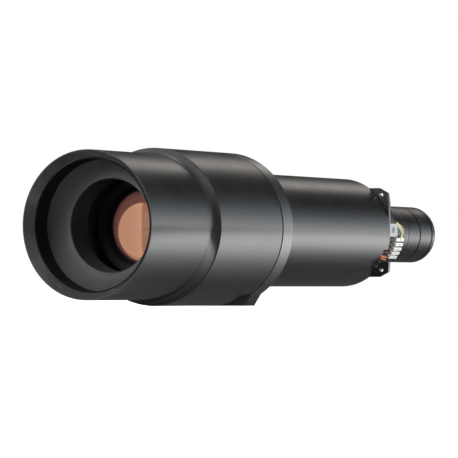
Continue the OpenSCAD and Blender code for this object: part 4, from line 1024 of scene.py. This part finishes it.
def clamp():
    """Grey cable clamp with an eye, on an arm that comes from the window's edge."""
    piece = block("cable_block", CLAMP_X, CLAMP_STATION, CLAMP_Z)
    arm = block("arm", (CLAMP_X[0] + CLAMP_ARM_INSET, CLAMP_X[1] - CLAMP_ARM_INSET),
                (CLAMP_STATION[1] - OVERRUN, 0), CLAMP_ARM_Z)
    boolean(piece, arm, "UNION")
    middle = Vector((sum(CLAMP_X) / 2, -sum(CLAMP_STATION) / 2, sum(CLAMP_Z) / 2)) * MM
    boolean(piece, pin("eye", middle, CLAMP_EYE_R, CLAMP_X[1] - CLAMP_X[0] + 2 * OVERRUN,
                       turn=(0, math.pi / 2, 0)))
    return fit_to(soften(piece, CLAMP_EDGE, 2), "grey_plastic", "cable_clamp")


def clamp_screw():
    """Black screw on top of the clamp."""
    low_corner, high_corner = (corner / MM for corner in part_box("clamp_screw"))
    middle = (low_corner + high_corner) / 2
    top = high_corner.z
    half_way = top - CLAMP_HEAD_H + CLAMP_HEAD_H / 2
    head = pin("clamp_screw_head", Vector((middle.x, middle.y, half_way)) * MM, CLAMP_SCREW_R,
               CLAMP_HEAD_H)
    boolean(head, pin("socket", Vector((middle.x, middle.y, top)) * MM, CLAMP_SOCKET_R, CLAMP_HEAD_H,
                      SOCKET_SIDES))
    return fit_to(soften(head, CLAMP_SCREW_EDGE, 2), "black_steel", "clamp_screw")


LEAD_SWELL = 0.056


def round_leads(node, names, slots):
    """Welded copies of the leads of a CAD node, rounded over and parted into single leads."""
    piece = bpy.data.objects.new(node + "_round", frame["nodes"][node].data.copy())
    bpy.context.scene.collection.objects.link(piece)
    edit(piece)
    bpy.ops.mesh.remove_doubles(threshold=10 * WELD)
    bpy.ops.mesh.tris_convert_to_quads()
    leave_edit()
    apply(piece, "SUBSURF", levels=1, render_levels=1)
    apply(piece, "DISPLACE", strength=LEAD_SWELL * MM, mid_level=0.0)
    edit(piece)
    if len(names) > 1:
        bpy.ops.mesh.separate(type="LOOSE")
    leave_edit()
    parts = sorted(bpy.context.selected_objects, reverse=True,
                   key=lambda lead: max(corner.co.z for corner in lead.data.vertices))
    for part, name, slot in zip(parts, names, slots):
        part.name = part.data.name = name
        only(part)
        bpy.ops.object.shade_smooth()
        fit_to(part, slot, node)


# The frame's own nodes that show as they are
KEPT = {
    "matt_black": ["relay_spacer", "cam_retainer", "bulkhead_ring"],
    # Inner parts in the darkest black: painted shade
    "painted_shade_black": ["baffle_ring", "front_spacer", "focus_barrel"],
    "satin_black": ["focus_guide", "variator_carriage", "compensator_carriage"],
    "bare_alloy": ["rear_bulkhead", "bulkhead", "gear_plate", "guide_barrel", "cam_barrel",
                   "zoom_ring", "focus_ring", "guide_posts", "motor_pillars"],
    "black_steel": ["tube_screws", "barrel_screws", "guide_screws"],
    "motor_steel": ["focus_motor", "zoom_motor", "variator_rollers", "compensator_rollers"],
    "gear_brass": ["focus_pinion", "zoom_pinion", "focus_keys"],
    "clear_glass": ["second_lens", "relay_lens_back", "relay_lens_front", "variator_lens",
                    "compensator_lens"],
    "black_plastic": ["harness_sleeve", "focus_leads", "zoom_leads"],
}
for slot, nodes in KEPT.items():
    for node in nodes:
        give(frame["nodes"][node], slot)

hood()
lining()
baffle()
body()
mount_ring()
main_tube()
flange()
barrel()
end_ring()
screws("ring_cap_screws", "ring_screws", RING_SCREWS, (RING_SCREW_R, 0),
       RING_REAR + RING_HEAD_DEPTH, *RING_SCREW_SIZES)
screws("flange_cap_screws", "flange_screws", FLANGE_SCREWS, (FLANGE_SCREW_R, 0),
       0.0, *FLANGE_SCREW_SIZES)
front_glass()
front_ring()
rear_glass()
header_row()
plug_row()
boots()
holder()
clamp()
clamp_screw()
round_leads("yellow_lead", ["yellow_wire"], ["yellow_insulation"])
round_leads("white_lead", ["white_wire"], ["white_insulation"])
round_leads("green_lead", ["green_wire"], ["green_insulation"])
round_leads("orange_leads", ["orange_wire", "red_wire"], ["orange_insulation", "orange_insulation"])
round_leads("sensor_leads", ["upper_sensor_wire", "middle_sensor_wire", "lower_sensor_wire"],
            ["green_insulation", "brown_insulation", "brown_insulation"])

# Stage

FLOOR_SIZE = 14.0
CAMERA_PLACE = (1.5529, -3.0369, -0.0553)
CAMERA_TURN = (90.995, 0.0, 29.06)
CAMERA_SENSOR = 36.0
CAMERA_LENS = 261.7
FLOOR_BRIGHT = 0.75
ROUND_LIGHT = 0.35
SLANT_SHARE = 2.0

# Brightness that the lens mirrors behind it, by the angle round its axis from +X through +Z
MIRRORED = [
    (-180, 0.05), (-120, 0.1), (-60, 0.4), (-20, 1.9), (0, 1.4), (12, 0.9), (25, 0.5), (40, 0.16),
    (58, 0.03), (78, 0.03), (92, 0.12), (98, 0.55), (106, 0.95), (118, 0.6), (128, 0.2),
    (140, 0.06), (180, 0.03),
]
# The same for directions that don't point rearwards, by their height and by their +X part
MIRRORED_HEIGHT = [(-1, 0.04), (0.3, 0.04), (0.7, 0.2), (1, 0.4)]
MIRRORED_SIDE = [(-1, 0.4), (-0.4, 0.3), (0.2, 0.03), (1, 0.03)]
# Share of the mirrored light that comes from behind the lens, by how far a direction points there
REARWARDS = [(0.5, 0.0), (0.75, 1.0)]
# Painted glow of the floor, which only mirrored rays see, by its distance to the side of the axis, in
# metres: dim near the axis as a painted shadow of the lens, bright further out
FLOOR_PAINTED_GLOW = [
    (0.0, 0.07), (0.05, 0.1), (0.07, 0.22), (0.095, 0.55), (0.14, 1.45), (0.22, 2.1), (0.4, 1.95),
    (1.0, 1.5),
]
# Fades that painted glow in front of the lens, by its distance along the axis less twice that to the
# side
FLOOR_SLANT = [(-0.8, 0.0), (-0.66, 1.0)]
# Tint of the mirrored light round the axis
MIRRORED_TINT = [
    (-180, (1, 1, 1)), (4, (1, 1, 1)), (22, (0.86, 0.95, 1)), (50, (0.84, 0.94, 1)),
    (80, (1, 1, 1)), (104, (1, 0.94, 0.88)), (130, (1, 0.96, 0.92)), (180, (1, 1, 1)),
]
# Name, place, target, size and power of the lamps
LAMPS = [
    ("side_light", (2.4, 0.3, 1.9), (0, -0.2, 0), (1.2, 1.2), 50),
    ("front_light", (-0.36, -1.52, 0.5), (0, -0.5, 0), (0.5, 0.5), 110),
    ("fill_light", (1.9, -2.6, 0.3), (0, -0.2, 0), (1.0, 1.0), 50),
]


def seen_rays(tree):
    """The light path, and a one for the rays that see the backdrop from the camera or through glass."""
    rays = tree.nodes.new("ShaderNodeLightPath")
    shown = (rays.outputs["Is Camera Ray"], rays.outputs["Is Transmission Ray"])
    return rays, math_node(tree, "MAXIMUM", *shown)


def floor():
    """Pale floor, which mirrored rays see as a painted glow with a painted shadow of the lens, set
    apart from what the camera sees.
    """
    bpy.ops.object.select_all(action="DESELECT")
    bpy.ops.mesh.primitive_plane_add(size=FLOOR_SIZE, location=(0, 0, FOOT_BASE * MM))
    piece = named("pale_floor")
    material = bpy.data.materials.new("pale_floor")
    material.use_nodes = True
    tree = material.node_tree
    shader = tree.nodes["Principled BSDF"]
    shader.inputs["Roughness"].default_value = 0.9
    shader.inputs["Specular IOR Level"].default_value = 0.1
    shader.inputs["Emission Color"].default_value = (1, 1, 1, 1)
    rays, seen = seen_rays(tree)
    # Mirrored rays see the floor nearly black, so that only its painted glow shows in the lens
    paint = mix_colors(tree, rays.outputs["Is Glossy Ray"], (0.8, 0.8, 0.8), (0.02, 0.02, 0.02))
    tree.links.new(paint, shader.inputs["Base Color"])
    split = tree.nodes.new("ShaderNodeSeparateXYZ")
    tree.links.new(tree.nodes.new("ShaderNodeTexCoord").outputs["Object"], split.inputs[0])
    x, y, _ = split.outputs
    slant = math_node(tree, "SUBTRACT", y, math_node(tree, "MULTIPLY", x, SLANT_SHARE))
    side = math_node(tree, "MULTIPLY", ramp(tree, x, FLOOR_PAINTED_GLOW), ramp(tree, slant, FLOOR_SLANT))
    mirrored = math_node(tree, "MULTIPLY", side, rays.outputs["Is Glossy Ray"])
    direct = math_node(tree, "MULTIPLY", seen, FLOOR_BRIGHT)
    tree.links.new(math_node(tree, "MAXIMUM", direct, mirrored), shader.inputs["Emission Strength"])
    piece.data.materials.append(material)


def world():
    """Plain white studio, with long soft lights beside the lens in what it mirrors."""
    place = bpy.data.worlds.new("studio")
    bpy.context.scene.world = place
    place.use_nodes = True
    tree = place.node_tree
    background = tree.nodes["Background"]
    rays, seen = seen_rays(tree)
    glossy = rays.outputs["Is Glossy Ray"]
    split = tree.nodes.new("ShaderNodeSeparateXYZ")
    tree.links.new(tree.nodes.new("ShaderNodeTexCoord").outputs["Generated"], split.inputs[0])
    x, y, z = split.outputs
    degrees = math_node(tree, "MULTIPLY", math_node(tree, "ARCTAN2", z, x), 180 / math.pi)
    rearwards = ramp(tree, y, REARWARDS)
    ahead = math_node(tree, "SUBTRACT", 1.0, rearwards)
    around = math_node(tree, "MULTIPLY", ramp(tree, degrees, MIRRORED), rearwards)
    brighter = math_node(tree, "MAXIMUM", ramp(tree, z, MIRRORED_HEIGHT), ramp(tree, x, MIRRORED_SIDE))
    elsewhere = math_node(tree, "MULTIPLY", ahead, brighter)
    mirrored = math_node(tree, "MULTIPLY", math_node(tree, "ADD", around, elsewhere), glossy)
    soft = math_node(tree, "MULTIPLY", rays.outputs["Is Diffuse Ray"], ROUND_LIGHT)
    strength = math_node(tree, "MAXIMUM", seen, math_node(tree, "MAXIMUM", mirrored, soft))
    tint = mix_colors(tree, math_node(tree, "MULTIPLY", rearwards, glossy), (1, 1, 1),
                      ramp(tree, degrees, MIRRORED_TINT))
    tree.links.new(tint, background.inputs["Color"])
    tree.links.new(strength, background.inputs["Strength"])


def soft_light(name, place, target, size, power):
    """A soft lamp that no mirroring surface shows."""
    bpy.ops.object.light_add(type="AREA", location=place)
    lamp = bpy.context.object
    lamp.name = name
    lamp.data.shape = "RECTANGLE"
    lamp.data.size, lamp.data.size_y = size
    lamp.data.energy = power
    lamp.visible_camera = False
    lamp.visible_glossy = False
    lamp.rotation_euler = (Vector(target) - Vector(place)).to_track_quat("-Z", "Y").to_euler()


def camera():
    """Camera at the photograph's viewing angle."""
    bpy.ops.object.camera_add(location=CAMERA_PLACE, rotation=[math.radians(a) for a in CAMERA_TURN])
    view = bpy.context.object
    view.data.sensor_width = CAMERA_SENSOR
    view.data.lens = CAMERA_LENS
    bpy.context.scene.camera = view


floor()
world()
for lamp_values in LAMPS:
    soft_light(*lamp_values)
camera()
bpy.context.scene.view_settings.view_transform = "Standard"
